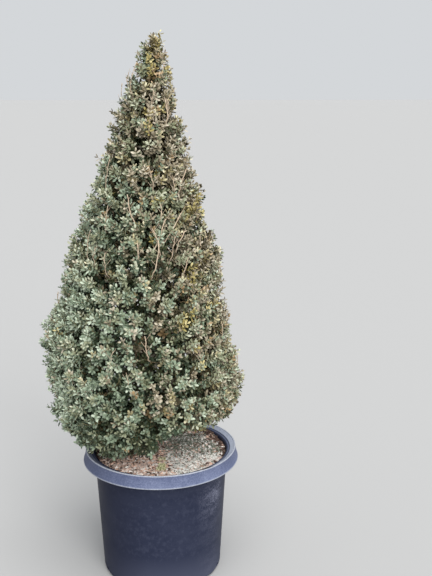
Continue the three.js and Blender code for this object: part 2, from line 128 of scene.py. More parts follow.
# The wood
FOOT_GAP = 0.3
FOOT = (-36, 6, MIX_Z + FOOT_GAP)
TRUNK_R = 18
TRUNK_TIP_R = 4.5
TRUNK_TOP_Z = 1286
TRUNK_POWER = 0.85
FLARE_R = 12
FLARE_HEIGHT = 46
FLARE_LOBES = 5
FLARE_LOBED = 0.35
BOUGH_TAPER = 0.42
BOUGH_SAG = 7
BOUGH_SHORT = 9
BOUGH_LOW = 14
STEM_SHARE = 0.56
STEM_TAPER = 0.3
STEM_BEND = 0.4
TRUNK_POINTS = [
    FOOT,
    (-41, 2, 430),
    (-33, -4, 610),
    (-44, 8, 800),
    (-37, 2, 980),
    (-30, 7, 1140),
    (-20, 5, TRUNK_TOP_Z),
]

# Twigs and leaves
SPRIGS = 170
TWIGS = 820
LEADERS = 16
BARE_TWIGS = 44
# Leafy shoots: name, count, how deep they end and stream of draws. Then for their leaves: pairs,
# spacing, stream, how much darker they are painted as shade inside the crown, and how many times
# larger.
LAYERS = [
    ("shoot", 7900, 0, 110, 6, 7.2, 160, 0, 1),
    ("inner", 2400, 34, 130, 4, 9, 180, 0.5, 1.3),
    ("deep", 2700, 62, 230, 4, 11, 250, 0.8, 1.7),
]
LEAF_LENGTH = 13
LEAF_WIDTH = 6.7
PROUD = 3
PROUD_SPREAD = 12
SMALLEST_LEAF = 0.62
THIN_R = 120
HEADING_JITTER = 0.55
HEADING_LIFT = 0.32
GOLDEN_ANGLE = math.pi * (3 - math.sqrt(5))
# The skirt is trimmed higher between these azimuths, on the right of its front
TRIM_FROM = -1.38
TRIM_TO = 0.6
TRIM_RISE = 46
TRIM_Z = (510, 420)

# Name, count, level, turn, drop of the bough's root, radius of the bough
TIERS = [
    ("skirt", 6, 468, 0.32, 66, 9),
    ("shoulder", 5, 688, 0.85, 84, 8.5),
    ("flank", 4, 900, 0.2, 74, 7),
    ("neck", 3, 1106, 1.4, 48, 5),
    ("tip", 1, 1330, 0, 0, 0),
]


# Numbers that only look random
def chance(k, stream):
    """A repeatable number from 0 to 1 for item k of a stream."""
    value = np.sin(np.asarray(k, float) * 12.9898 + stream * 78.233) * 43758.5453
    return value - np.floor(value)


def even(k, stream):
    """The same, from -1 to 1."""
    return 2 * chance(k, stream) - 1


def stacked(*parts):
    """Arrays or numbers side by side along a new last axis, such as the x, y and z of points."""
    return np.stack(np.broadcast_arrays(*parts), axis=-1)


def even_xyz(k, stream):
    """Three even numbers for each item, from this stream and the next two."""
    return stacked(*(even(k, stream + i) for i in range(3)))


def lumps(points, size, stream):
    """Smooth noise from -1 to 1 at points, with lumps about as large as size."""
    cell = np.asarray(points, float) / size
    low = np.floor(cell)
    part = cell - low
    part = part * part * (3 - 2 * part)
    total = 0
    for step in np.ndindex(2, 2, 2):
        weight = np.prod(np.where(np.array(step) == 1, part, 1 - part), axis=-1)
        corner = (low + step) @ np.array((1.0, 57.31, 113.77))
        total = total + weight * chance(corner, stream)
    return 2 * total - 1


def clamp01(value):
    return np.clip(value, 0, 1)


def fade(value, start, end):
    """How far a value is on its way from start to end, from 0 to 1."""
    return clamp01((value - start) / (end - start))


def unit(v):
    v = np.asarray(v, float)
    return v / np.maximum(np.linalg.norm(v, axis=-1, keepdims=True), 1e-9)


def across_from(v, way):
    """The parts of vectors v that lie across unit vectors."""
    return v - way * np.sum(v * way, axis=-1, keepdims=True)


def mix(a, b, share):
    return a + (b - a) * share


def turned_about(v, axis, angle):
    """Vectors v turned about unit axes by angles."""
    angle = np.asarray(angle)[..., None]
    dot = np.sum(v * axis, axis=-1, keepdims=True)
    return v * np.cos(angle) + np.cross(axis, v) * np.sin(angle) + axis * dot * (1 - np.cos(angle))


# Tables: a dict of columns of one length
def merged(tables):
    return {key: np.concatenate([table[key] for table in tables]) for key in tables[0]}


def chosen(table, rows):
    return {key: column[rows] for key, column in table.items()}


# The crown's outline
def axis_x(z):
    return AXIS_X + BEND_X * fade(z, BEND_Z, TIP_Z) ** BEND_POWER


def crown_radius(z):
    z = np.asarray(z, float)
    level = np.maximum(z, WAIST_Z)
    side = TIP_R + SIDE_SLOPE * np.maximum(TIP_Z - level, -TIP_R)
    above = (side**-GIRTH_SHARP + float(GIRTH) ** -GIRTH_SHARP) ** (-1 / GIRTH_SHARP)
    depth = fade(z, WAIST_Z, SKIRT_Z)
    cap = clamp01((z - TIP_Z + TIP_ROUND) / TIP_ROUND)
    return above * (1 - depth**SKIRT_POWER) ** (1 / SKIRT_POWER) * np.sqrt(1 - cap * cap)


def thinness(z):
    """How much smaller leaves are at a level: 1 is full size."""
    share = clamp01(crown_radius(np.clip(z, WAIST_Z, TIP_Z)) / THIN_R)
    return SMALLEST_LEAF + (1 - SMALLEST_LEAF) * share


def fullness(angle, z):
    """How full the crown is at an azimuth and a level: 1 is the even cone."""
    shoulder = np.exp(-(((z - BULGE_Z) / BULGE_SPREAD) ** 2))
    oval = OVAL * np.sin(2 * angle + z / OVAL_TWIST)
    lobes = LOBES * np.sin(3 * angle - z / LOBES_TWIST + 1)
    return 1 - BULGE * shoulder * np.cos(angle) + (oval + lobes)


def crown_point(angle, radius, z):
    """The true place of a point given by azimuth, radius and level in the even cone."""
    wide = radius * fullness(angle, z)
    rise = SKIRT_RISE * np.cos(angle) * fade(z, WAIST_Z, SKIRT_Z)
    across = axis_x(z) + wide * np.cos(angle)
    return stacked(across, AXIS_Y + wide * np.sin(angle), z + rise)


LEVELS = np.linspace(SKIRT_Z, TIP_Z, LEVEL_STEPS + 1)
SLANTS = np.hypot(np.diff(crown_radius(LEVELS)), np.diff(LEVELS))
AREA_BELOW = np.concatenate([[0], np.cumsum(SLANTS * crown_radius(LEVELS[1:]))])


def level_at(share):
    """The level below which a share of the crown's surface lies."""
    return np.interp(np.asarray(share) * AREA_BELOW[-1], AREA_BELOW, LEVELS)


# The masses and their own spaces
def make_masses():
    made = []
    for name, count, level, turn, drop, radius in TIERS:
        alone = count == 1
        for i in range(count):
            angle = turn + 2 * math.pi * i / count
            z = level + (0 if alone else MASS_LIFT * float(even(i, count)))
            out = 0 if alone else float(crown_radius(z)) * CENTRE_SHARE
            mass = dict(alone=alone, angle=angle, z=z, drop=drop, r=radius)
            mass["label"] = name if alone else f"{name}_{i + 1}"
            mass["centre"] = crown_point(angle, out, z)
            made.append(mass)
    return made


MASSES = make_masses()
CENTRES = np.array([m["centre"] for m in MASSES])


def mass_at(points):
    return np.argmin(np.linalg.norm(points[:, None] - CENTRES[None], axis=-1), axis=1)


def depth_in_space(which, points):
    """How far each point lies inside the space of its mass, negative outside."""
    across = CENTRES[None] - CENTRES[which][:, None]
    middle = (CENTRES[None] + CENTRES[which][:, None]) / 2
    depth = np.sum((middle - points[:, None]) * unit(across), axis=-1)
    depth[np.arange(len(points)), which] = np.inf
    return depth.min(axis=1)


def hollow_radius(z):
    return max(HOLLOW_MIN_R, float(crown_radius(max(z, WAIST_Z))) * HOLLOW)


# Lines of points along a limb
LINE_POINTS = 40
TANGENT_STEP = 0.004


class Line:
    def __init__(self, points):
        self.points = np.asarray(points, float)
        steps = np.linalg.norm(np.diff(self.points, axis=0), axis=1)
        self.length = steps.sum()
        self.shares = np.concatenate([[0], np.cumsum(steps)]) / self.length

    def at(self, share):
        return stacked(*(np.interp(share, self.shares, column) for column in self.points.T))

    def tangent(self, share):
        ahead, before = np.minimum(share + TANGENT_STEP, 1), np.maximum(share - TANGENT_STEP, 0)
        return unit(self.at(ahead) - self.at(before))


def bezier(a, b, c, count):
    """Quadratic curves, one for each row of a, b and c, as count points each."""
    t = np.linspace(0, 1, count)[:, None]
    a, b, c = (np.asarray(p, float)[..., None, :] for p in (a, b, c))
    return a * (1 - t) ** 2 + b * 2 * t * (1 - t) + c * t**2


def smooth_path(corners, count):
    """A centripetal curve through the corners, as count points for each step."""
    p = np.asarray(corners, float)
    p = np.vstack([2 * p[0] - p[1], p, 2 * p[-1] - p[-2]])
    made = []
    for i in range(1, len(p) - 2):
        knots = [0.0]
        for a, b in zip(p[i - 1 : i + 2], p[i : i + 3]):
            knots.append(knots[-1] + np.linalg.norm(b - a) ** 0.5)
        t = np.linspace(knots[1], knots[2], count, endpoint=i == len(p) - 3)[:, None]
        rows = p[i - 1 : i + 3]
        for ends in (((0, 1), (1, 2), (2, 3)), ((0, 2), (1, 3)), ((1, 2),)):
            shares = [(t - knots[low]) / (knots[high] - knots[low]) for low, high in ends]
            rows = [mix(a, b, share) for a, b, share in zip(rows, rows[1:], shares)]
        made.append(rows[0])
    return Line(np.vstack(made))


TRUNK = smooth_path(TRUNK_POINTS, 60)


def trunk_radius(share, angle):
    height = share * (TRUNK_TOP_Z - FOOT[2])
    lobed = 1 + FLARE_LOBED * np.cos(FLARE_LOBES * angle)
    flare = np.exp(-height / FLARE_HEIGHT) * FLARE_R * lobed
    return TRUNK_TIP_R + (TRUNK_R - TRUNK_TIP_R) * (1 - share) ** TRUNK_POWER + flare


def bough_line(mass):
    inner = hollow_radius(mass["z"]) - BOUGH_SHORT
    end = crown_point(mass["angle"], inner, mass["z"] - BOUGH_LOW)
    start = TRUNK.at(np.interp(mass["z"] - mass["drop"], TRUNK.points[:, 2], TRUNK.shares))
    bend = (start + end) / 2 - np.array((0, 0, BOUGH_SAG))
    return Line(bezier(start, bend, end, LINE_POINTS))


def stem_line(mass):
    before = TRUNK if mass["alone"] else bough_line(mass)
    start = before.at(1.0)
    reach = np.linalg.norm(mass["centre"] - start)
    bend = start + before.tangent(1 - TANGENT_STEP) * reach * STEM_BEND
    return Line(bezier(start, bend, mass["centre"], LINE_POINTS))


BOUGHS = {m["label"]: bough_line(m) for m in MASSES if not m["alone"]}
STEMS = [stem_line(m) for m in MASSES]


def sprig_ends(count, creased=1.0, stray=0):
    """Where the sprigs of any count end on the outline, and the way they point."""
    k = np.arange(count)
    z = np.clip(level_at(k / (count - 1)) + stray * even(k, 8), SKIRT_Z, TIP_Z)
    angle = k * GOLDEN_ANGLE + stray * even(k, 9) / np.maximum(crown_radius(z), 30)
    below, above = np.maximum(SKIRT_Z, z - SLOPE_STEP), np.minimum(TIP_Z, z + SLOPE_STEP)
    steep = (crown_radius(above) - crown_radius(below)) / (above - below)
    out = unit(stacked(np.cos(angle), np.sin(angle), -steep))
    heading = out + even_xyz(k, 1) / 2 * HEADING_JITTER
    heading[:, 2] += HEADING_LIFT
    end = crown_point(angle, crown_radius(z), z)
    mass = mass_at(end)
    crease = CREASE_DEPTH * np.exp(-np.maximum(0, depth_in_space(mass, end)) / CREASE_WIDTH)
    end = end + out * (PROUD - PROUD_SPREAD * chance(k, 4) - creased * crease)[:, None]
    turn = np.arctan2(end[:, 1] - AXIS_Y, end[:, 0] - AXIS_X)
    trimmed = clamp01((turn - TRIM_FROM) / 0.14) * clamp01((TRIM_TO - turn) / 0.6)
    end[:, 2] += TRIM_RISE * trimmed * fade(end[:, 2], *TRIM_Z)
    return dict(k=k, end=end, heading=unit(heading), out=out, mass=mass)


# Meshes. A shape is its points and a list of arrays of faces, each of one number of corners.
def make_piece(name, shape, look, smooth=True):
    """One mesh object from a shape in millimetres."""
    points, faces = shape
    mesh = bpy.data.meshes.new(name)
    points = (np.asarray(points, float).reshape(-1, 3) * MM).astype(np.float32)
    corners = np.concatenate([f.ravel() for f in faces]).astype(np.int32)
    totals = np.concatenate([np.full(len(f), f.shape[1]) for f in faces])
    starts = np.concatenate([[0], np.cumsum(totals)[:-1]]).astype(np.int32)
    mesh.vertices.add(len(points))
    mesh.vertices.foreach_set("co", points.ravel())
    mesh.loops.add(len(corners))
    mesh.loops.foreach_set("vertex_index", corners)
    mesh.polygons.add(len(totals))
    mesh.polygons.foreach_set("loop_start", starts)
    mesh.polygons.foreach_set("use_smooth", np.full(len(totals), smooth))
    mesh.update(calc_edges=True)
    mesh.validate()
    piece = bpy.data.objects.new(name, mesh)
    bpy.context.scene.collection.objects.link(piece)
    mesh.materials.append(look)
    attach(piece, "root")
    return piece


def joined(shapes):
    """Several shapes as one, with its faces of fewest corners first."""
    points, faces, first = [], {}, 0
    for part_points, part_faces in shapes:
        points.append(part_points)
        for face_set in part_faces:
            faces.setdefault(face_set.shape[1], []).append(face_set + first)
        first += len(part_points)
    return np.concatenate(points), [np.concatenate(faces[corners]) for corners in sorted(faces)]


def corner_angles(sides):
    return 2 * np.pi * np.arange(sides) / sides


def ring_walls(first, sides):
    """Faces between each ring of points and the next, from the rings' first points."""
    here, following = np.arange(sides), (np.arange(sides) + 1) % sides
    corners = (here, following, sides + following, sides + here)
    return stacked(*(first + corner for corner in corners)).reshape(-1, 4)


def tubes(paths, radii, sides):
    """Closed tubes along (n, m, 3) points, with radii for each point or each corner of its ring."""
    paths = np.asarray(paths, float)
    n, m = paths.shape[:2]
    radii = np.asarray(radii, float)
    radii = radii[..., None] if radii.ndim == 2 else radii
    tangent = unit(np.gradient(paths, axis=1))
    whole = unit(paths[:, -1] - paths[:, 0])
    near_up = np.abs(whole[:, 2:3]) > 0.9
    guide = np.where(near_up, np.array([[1.0, 0, 0]]), np.array([[0, 0, 1.0]]))
    across = unit(np.cross(tangent, guide[:, None]))
    beside = np.cross(tangent, across)
    turn = corner_angles(sides)[:, None]
    ring = across[:, :, None] * np.cos(turn) + beside[:, :, None] * np.sin(turn)
    points = paths[:, :, None] + ring * radii[..., None]
    tube = (np.arange(n) * m * sides)[:, None]
    walls = ring_walls(tube[..., None] + np.arange(m - 1)[:, None] * sides, sides)
    here = np.arange(sides)
    return points.reshape(-1, 3), [walls, tube + here[::-1], tube + (m - 1) * sides + here]


def turned(profile, steps):
    """A profile of (radius, height) turned about the pot's middle, with closed ends."""
    radius, height = np.array(profile, float).T[..., None]
    angles = corner_angles(steps)
    points = stacked(radius * np.cos(angles), radius * np.sin(angles), height)
    walls = ring_walls(np.arange(len(profile) - 1)[:, None] * steps, steps)
    here = np.arange(steps)[None]
    return points.reshape(-1, 3), [walls, here[:, ::-1], (len(profile) - 1) * steps + here]


# A leaf of eight faces in its own outline: shares of its length along, of its width across, and of
# its length up. It is folded a little on its midrib, and its edges and tip turn down.
LEAF_SHAPE = np.array(
    [
        (0.0, 0.0, 0.0),
        (0.2, 0.32, -0.03),
        (0.54, 0.5, -0.07),
        (0.86, 0.32, -0.1),
        (1.0, 0.0, -0.1),
        (0.86, -0.32, -0.1),
        (0.54, -0.5, -0.07),
        (0.2, -0.32, -0.03),
        (0.5, 0.0, 0.04),
    ]
)
# The same leaf in four faces, for those inside the crown
PLAIN_LEAF_SHAPE = LEAF_SHAPE[[0, 2, 4, 6, 8]] * (1, 1.15, 1)


def leaves(roots, along, upper, lengths, widths, curls, shape=LEAF_SHAPE):
    """Many leaves, each from its root along a way, its upper side to upper."""
    along = unit(along)
    across = unit(np.cross(upper, along))
    upper = np.cross(along, across)
    u, v, w = shape.T[..., None]
    length, width, curl = (each[:, None, None] for each in (lengths, widths, curls))
    points = roots[:, None] + along[:, None] * u * length + across[:, None] * v * width
    points = points + upper[:, None] * w * length * curl
    sides = len(shape) - 1
    fan = np.array([(i, (i + 1) % sides, sides) for i in range(sides)])
    faces = fan[None] + (np.arange(len(roots)) * len(shape))[:, None, None]
    return points.reshape(-1, 3), [faces.reshape(-1, 3)]


# Looks
def colour(red, green, blue):
    """A colour given as it shows on a screen, from 0 to 255."""
    c = np.array((red, green, blue)) / 255
    return np.append(np.where(c <= 0.04045, c / 12.92, ((c + 0.055) / 1.055) ** 2.4), 1)


class Look:
    """A material and its nodes. What its methods return goes on into others."""

    def __init__(self, name, base, roughness, specular=0.5):
        self.material = bpy.data.materials.new(name)
        self.material.use_nodes = True
        self.tree = self.material.node_tree
        self.shader = self.tree.nodes["Principled BSDF"]
        self.put(self.shader, {"Base Color": base, "Roughness": roughness})
        self.put(self.shader, {"Specular IOR Level": specular})

    def put(self, node, inputs):
        """Give each of a node's inputs a plain value or another node's output."""
        for key, value in inputs.items():
            if isinstance(value, bpy.types.NodeSocket):
                self.tree.links.new(value, node.inputs[key])
            else:
                node.inputs[key].default_value = value

    def node(self, kind, inputs, **settings):
        made = self.tree.nodes.new(kind)
        for key, value in settings.items():
            setattr(made, key, value)
        self.put(made, inputs)
        return made

    def place(self, stretch=(1, 1, 1)):
        """Places on the object, in metres, stretched along each axis."""
        where = self.node("ShaderNodeTexCoord", {}).outputs["Object"]
        return self.node("ShaderNodeMapping", {"Vector": where, "Scale": stretch}).outputs["Vector"]

    def xyz(self):
        """The three numbers of a place on the object, in metres."""
        return self.node("ShaderNodeSeparateXYZ", {"Vector": self.place()}).outputs

    def noise(self, scale, detail=3, roughness=0.55, stretch=(1, 1, 1)):
        inputs = {"Scale": scale, "Detail": detail, "Roughness": roughness}
        inputs["Vector"] = self.place(stretch)
        return self.node("ShaderNodeTexNoise", inputs).outputs["Fac"]

    def ramp(self, source, stops):
        """A colour that changes with a source, from stops of (value, colour)."""
        made = self.node("ShaderNodeValToRGB", {"Fac": source})
        keys = made.color_ramp.elements
        for i, (where, tint) in enumerate(stops):
            key = keys[i] if i < len(keys) else keys.new(1)
            key.position = where
            key.color = tint
        return made.outputs["Color"]

    def spread(self, source, low, high, to_low=0, to_high=1):
        """A source that goes from low to high, made to go from to_low to to_high."""
        inputs = {"Value": source, "From Min": low, "From Max": high}
        inputs.update({"To Min": to_low, "To Max": to_high})
        return self.node("ShaderNodeMapRange", inputs).outputs["Result"]

    def blend(self, share, a, b):
        return self.node("ShaderNodeMix", {0: share, 6: a, 7: b}, data_type="RGBA").outputs[2]

    def reckon(self, operation, first, *others):
        for other in others:
            made = self.node("ShaderNodeMath", {0: first, 1: other}, operation=operation)
            first = made.outputs[0]
        return first

    def times(self, *values):
        return self.reckon("MULTIPLY", *values)

    def bump(self, height, strength, distance):
        inputs = {"Height": height, "Strength": strength, "Distance": distance}
        self.put(self.shader, {"Normal": self.node("ShaderNodeBump", inputs).outputs["Normal"]})

    def paint(self, tint):
        self.put(self.shader, {"Base Color": tint})

    def rough(self, value):
        self.put(self.shader, {"Roughness": value})


def leaf_look(name, base, roughness=0.46):
    """Leathery leaves of one plain colour, uneven in their gloss."""
    look = Look(name, base, roughness, 0.42)
    look.rough(look.spread(look.noise(160, 2), 0.35, 0.65, roughness - 0.1, roughness + 0.14))
    look.bump(look.noise(420, 2), 0.25, 0.0006)
    return look.material


def wood_look(name, dark, pale, scale, roughness=0.85):
    """Wood with a grain between two colours, finer as its scale is larger."""
    look = Look(name, dark, roughness, 0.3)
    grain = look.noise(scale, 5, 0.65, (1, 1, 0.35))
    look.paint(look.ramp(grain, [(0.33, dark), (0.52, mix(dark, pale, 0.55)), (0.7, pale)]))
    look.rough(look.spread(grain, 0.3, 0.7, roughness - 0.12, roughness + 0.1))
    look.bump(grain, 0.6, 0.002)
    return look.material


# The camera stands where the photograph was taken, and turns to the right and down by these degrees
CAMERA_PLACE = (0, -2.285, 1.343)
CAMERA_YAW = 3.9
CAMERA_PITCH = 13.1
SENSOR = 36
LENS = 54.06
SKY_COLOUR = (0.94, 0.97, 1.0, 1)
SKY_STRENGTH = 0.7
SUN_COLOUR = (1, 0.99, 0.97)
FLOOR_COLOUR = (0.43, 0.43, 0.43, 1)
FLOOR_REACH = 90


def aimed(name, data, azimuth, elevation):
    """A camera or lamp that looks these degrees to the right of straight ahead and upwards."""
    turn, rise = math.radians(azimuth), math.radians(elevation)
    level = math.cos(rise)
    way = Vector((math.sin(turn) * level, math.cos(turn) * level, math.sin(rise)))
    made = bpy.data.objects.new(name, data)
    made.rotation_mode = "QUATERNION"
    made.rotation_quaternion = way.to_track_quat("-Z", "Y")
    bpy.context.scene.collection.objects.link(made)
    return made


def make_camera():
    data = bpy.data.cameras.new("camera")
    data.sensor_width = SENSOR
    data.lens = LENS
    camera = aimed("camera", data, CAMERA_YAW, -CAMERA_PITCH)
    camera.location = CAMERA_PLACE
    bpy.context.scene.camera = camera
    bpy.context.scene.view_settings.view_transform = "Standard"


def make_sky():
    world = bpy.data.worlds.new("sky")
    world.use_nodes = True
    sky = world.node_tree.nodes["Background"].inputs
    sky["Color"].default_value = SKY_COLOUR
    sky["Strength"].default_value = SKY_STRENGTH
    bpy.context.scene.world = world


def wide_sun(name, azimuth, elevation, strength, spread):
    """A soft sun, its azimuth measured from the front towards the right."""
    data = bpy.data.lights.new(name, "SUN")
    data.energy = strength
    data.angle = math.radians(spread)
    data.color = SUN_COLOUR
    aimed(name, data, -azimuth, -elevation)


def make_floor():
    side = FLOOR_REACH
    points = [(-side, -side, 0), (side, -side, 0), (side, side, 0), (-side, side, 0)]
    mesh = bpy.data.meshes.new("floor")
    mesh.from_pydata(points, [], [(0, 1, 2, 3)])
    mesh.materials.append(Look("floor_look", FLOOR_COLOUR, 0.9, 0.2).material)
    floor = bpy.data.objects.new("floor", mesh)
    bpy.context.scene.collection.objects.link(floor)


# Soft light: a pale sky all round, a wide soft sun overhead and one lower in front
make_camera()
make_sky()
wide_sun("overhead", 16, 69, 2.0, 46)
wide_sun("front", 14, 26, 2.1, 40)
make_floor()


# The pot
def arc(cx, cz, radius, start, end, steps):
    angles = np.radians(np.linspace(start, end, steps))
    return [(cx + radius * math.cos(a), cz + radius * math.sin(a)) for a in angles]


def pot_profile():
    """Radius and height from under the pot's floor up the outside and down the inside."""
    foot, inner_foot = POT_BASE_R - POT_FOOT_ROUND, POT_BASE_R - POT_WALL
    inner_top = POT_WALL_TOP_R - POT_WALL
    ledge_z = POT_HEIGHT - LEDGE_DROP
    bead_r = BAND_R - BEAD_INSET
    shares, wall_top = (0.25, 0.5, 0.75, 0.94, 1), ledge_z - LEDGE_THICK
    wall = [(mix(POT_BASE_R, POT_WALL_TOP_R, s), mix(POT_FOOT_ROUND, wall_top, s)) for s in shares]
    return [
        # the underside is raised a little in its middle
        (foot - DISH_INSET - 4, 2.2),
        (foot - DISH_INSET, 0.2),
        (foot - 1, 0),
        *arc(foot, POT_FOOT_ROUND, POT_FOOT_ROUND, -88, 0, 10),
        *wall,
        # out under the ledge and down the back of the band
        (LIP_R - 2.6, POT_HEIGHT - 4.2),
        (BAND_R - POT_WALL - 0.6, BAND_Z + 6),
        (BAND_R - POT_WALL, BAND_Z + 0.6),
        # the bead along the band's lower edge, the band, and the lip
        *arc(bead_r, BAND_Z + BEAD_ROUND, BEAD_ROUND, -110, 62, 7),
        (bead_r, BAND_Z + 5.2),
        (mix(BAND_R, LIP_R, 0.5) + 0.3, mix(BAND_Z, POT_HEIGHT, 0.5)),
        (LIP_R + LIP_ROUND - 0.5, POT_HEIGHT - 5.6),
        *arc(LIP_R, POT_HEIGHT - LIP_ROUND, LIP_ROUND + 0.25, -20, 180, 9),
        # down the slope inside the lip, over the wall's edge and down to the floor
        (POT_WALL_TOP_R + 14, POT_HEIGHT - 4.6),
        (POT_WALL_TOP_R + 4.5, ledge_z + 0.4),
        *arc(inner_top + POT_EDGE_ROUND, ledge_z - POT_EDGE_ROUND, POT_EDGE_ROUND, 90, 180, 5),
        (inner_foot + 0.6, POT_FOOT_ROUND + 6),
        (inner_foot, POT_FOOT_ROUND),
        (foot, POT_FLOOR),
        (foot - DISH_INSET, POT_FLOOR + 0.3),
    ]


def pot_look():
    """Blue-black plastic, dusty and paler on the rim, with faint scuffs round the body, painted
    shade on the left and in a slit at the front right, and a painted highlight and sheen on the
    rim.
    """
    body = colour(38, 43, 62)
    look = Look("pot_plastic_look", body, 0.55, 0.1)
    x, y, z = look.xyz()
    clouds = look.noise(7, 4, 0.6)
    streaks = look.noise(24, 4, 0.7, (0.5, 0.5, 1.6))
    grit = look.noise(260, 3, 0.7)
    uneven = look.reckon("ADD", clouds, grit)
    flat = look.node("ShaderNodeCombineXYZ", {"X": x, "Y": y}).outputs["Vector"]
    away = look.node("ShaderNodeVectorMath", {0: flat}, operation="LENGTH").outputs["Value"]

    # dust near the ground and in patches, and a scuffed place on the right of the front
    near_ground = look.spread(z, 0.11, 0, 0, 0.4)
    cloudy = look.spread(look.times(clouds, streaks), 0.2, 0.4, 0, 0.08)
    mottled = look.spread(look.noise(75, 5, 0.75), 0.45, 0.65, 0, 0.14)
    dusty = look.reckon("MAXIMUM", near_ground, cloudy, mottled)
    shell = look.blend(dusty, body, colour(102, 106, 126))
    scuffs = look.spread(look.times(streaks, grit), 0.21, 0.33, 0, 0.75)
    on_right = look.times(look.spread(x, 0.09, 0.15), scuffs, look.spread(y, -0.06, -0.1))
    at_height = look.times(look.spread(z, 0.17, 0.25, 0.2, 1), look.spread(z, 0.31, 0.27))
    shell = look.blend(look.times(on_right, at_height), shell, colour(124, 127, 146))
    # and painted shade on the left: the body is darker there
    shell = look.blend(look.spread(x, -0.04, -0.17, 0, 0.7), shell, colour(24, 27, 44))

    # the rim is paler, with a painted highlight along the rounded lip and the bead
    rim_blotches = look.spread(uneven, 0.85, 1.25, 0, 0.7)
    rim = look.blend(rim_blotches, colour(84, 92, 120), colour(128, 136, 162))
    # the rim is darker on the left, as painted shade
    rim = look.blend(look.spread(x, -0.07, -0.2, 0, 0.4), rim, colour(52, 57, 78))
    lip = look.spread(z, (POT_HEIGHT - 3.2) * MM, (POT_HEIGHT - 1.2) * MM)
    bead = look.spread(z, (BAND_Z + 4.6) * MM, (BAND_Z + 1.2) * MM)
    edges = look.reckon("MAXIMUM", lip, bead)
    edge_highlight = look.times(edges, look.spread(grit, 0.3, 0.6, 0.5, 0.95))
    rim = look.blend(edge_highlight, rim, colour(176, 180, 190))

    # dust and a painted sky reflection lie pale on the slope inside the lip, more to the right, and
    # the plastic next to the mix is dark
    slope = look.times(look.spread(z, 0.3515, 0.353), look.spread(away, 0.2085, 0.2072))
    rim = look.blend(look.times(slope, look.spread(away, 0.196, 0.194)), rim, body)
    dust_and_sheen = look.times(
        slope,
        look.spread(away, 0.194, 0.196),
        look.spread(uneven, 0.7, 1.2, 0.55, 1),
        look.spread(x, -0.12, 0.08, 0.3, 1),
    )
    rim = look.blend(dust_and_sheen, rim, colour(186, 194, 212))

    # inside and under the rim the plastic keeps its dark colour
    on_rim = look.spread(z, (BAND_Z - 1.2) * MM, (BAND_Z - 0.4) * MM)
    painted = look.blend(look.times(on_rim, look.spread(away, 0.187, 0.19)), shell, rim)

    # a painted shadow lies dark on the slope next to the crack in the mix, as a slit
    aside = look.reckon("ADD", look.times(x, 0.796), look.times(y, 0.606))
    slit_shadow = look.times(
        look.spread(look.reckon("ABSOLUTE", aside, 0), 0.026, 0.01),
        look.spread(x, 0.06, 0.08),
        look.spread(z, 0.3505, 0.3515),
        look.spread(away, 0.2094, 0.2084),
        look.spread(uneven, 0.7, 1.05, 0.55, 1),
    )
    look.paint(look.blend(slit_shadow, painted, colour(40, 38, 42)))
    look.rough(look.spread(look.reckon("ADD", clouds, dusty), 0.3, 1.0, 0.4, 0.72))
    look.bump(look.reckon("ADD", grit, streaks), 0.18, 0.0008)
    return look.material


def make_pot():
    pot = make_piece("pot_shell", turned(pot_profile(), TURN_STEPS), pot_look())
    angle = 2 * np.pi * (np.arange(DRAIN_COUNT) + 0.5)[:, None] / DRAIN_COUNT
    reach = POT_BASE_R + np.array(DRAIN_REACH)
    drills = stacked(reach * np.cos(angle), reach * np.sin(angle), DRAIN_Z)
    shape = tubes(drills, np.full((DRAIN_COUNT, 2), DRAIN_R - 1), 20)
    drill = make_piece("drill", shape, pot.data.materials[0])
    cut = pot.modifiers.new("drains", "BOOLEAN")
    cut.operation = "DIFFERENCE"
    cut.solver = "EXACT"
    cut.object = drill
    bpy.context.view_layer.update()
    cut_pot = pot.evaluated_get(bpy.context.evaluated_depsgraph_get())
    made = bpy.data.meshes.new_from_object(cut_pot)
    pot.modifiers.clear()
    pot.data = made
    bpy.data.objects.remove(drill)
    pot.data.set_sharp_from_angle(angle=math.radians(38))
    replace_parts(pot, "pot")


make_pot()


# The potting mix: a bed with bark chips, dry clippings on its right side and a tuft of moss
BED_STEPS = 168
BED_RINGS = 46
BED_REACH = 0.985  # loose pieces lie within this share of the bed's radius
TRUNK_ROOM = 3
BED_TINTS = (colour(84, 68, 60), colour(160, 134, 120), colour(224, 202, 188))
CRACK_SHADOW_TINT = colour(34, 27, 24)


def pot_inside(z):
    share = (z - POT_FOOT_ROUND) / (POT_HEIGHT - LEDGE_DROP - LEDGE_FALL - POT_FOOT_ROUND)
    return POT_BASE_R - POT_WALL + (POT_WALL_TOP_R - POT_BASE_R) * share


EDGE = pot_inside(MIX_Z) - MIX_GAP


def from_foot(x, y):
    return np.hypot(x - FOOT[0], y - FOOT[1])


def mix_height(x, y):
    waves = np.sin(x / MIX_WAVE_X + 1) * np.cos(y / MIX_WAVE_Y)
    waves = waves + MIX_RIPPLE_SHARE * np.sin((x - y) / MIX_RIPPLE)
    away = fade(from_foot(x, y), *MIX_FLAT)
    bank = BANK * fade(np.hypot(x, y), *BANK_R) * fade(x, *BANK_X)
    return MIX_WAVE * (waves - MIX_SETTLED) * away + bank


def in_crack(x, y):
    turn = np.arctan2(y, x) - CRACK_TURN
    across = (np.hypot(x, y) - CRACK_R - CRACK_SLANT * turn) / CRACK_WIDE
    return np.exp(-((turn / CRACK_LONG) ** 4) - across**2)


def bed_height(x, y):
    """Height of the bed above its level, with small lumps and the crack along the wall."""
    places = stacked(x, y, 0.0)
    small = 1.6 * lumps(places, 17, 31) + 1.0 * lumps(places, 7, 32)
    inside = clamp01((EDGE - np.hypot(x, y)) / 5)
    return mix_height(x, y) + small * inside - CRACK_DEPTH * in_crack(x, y)


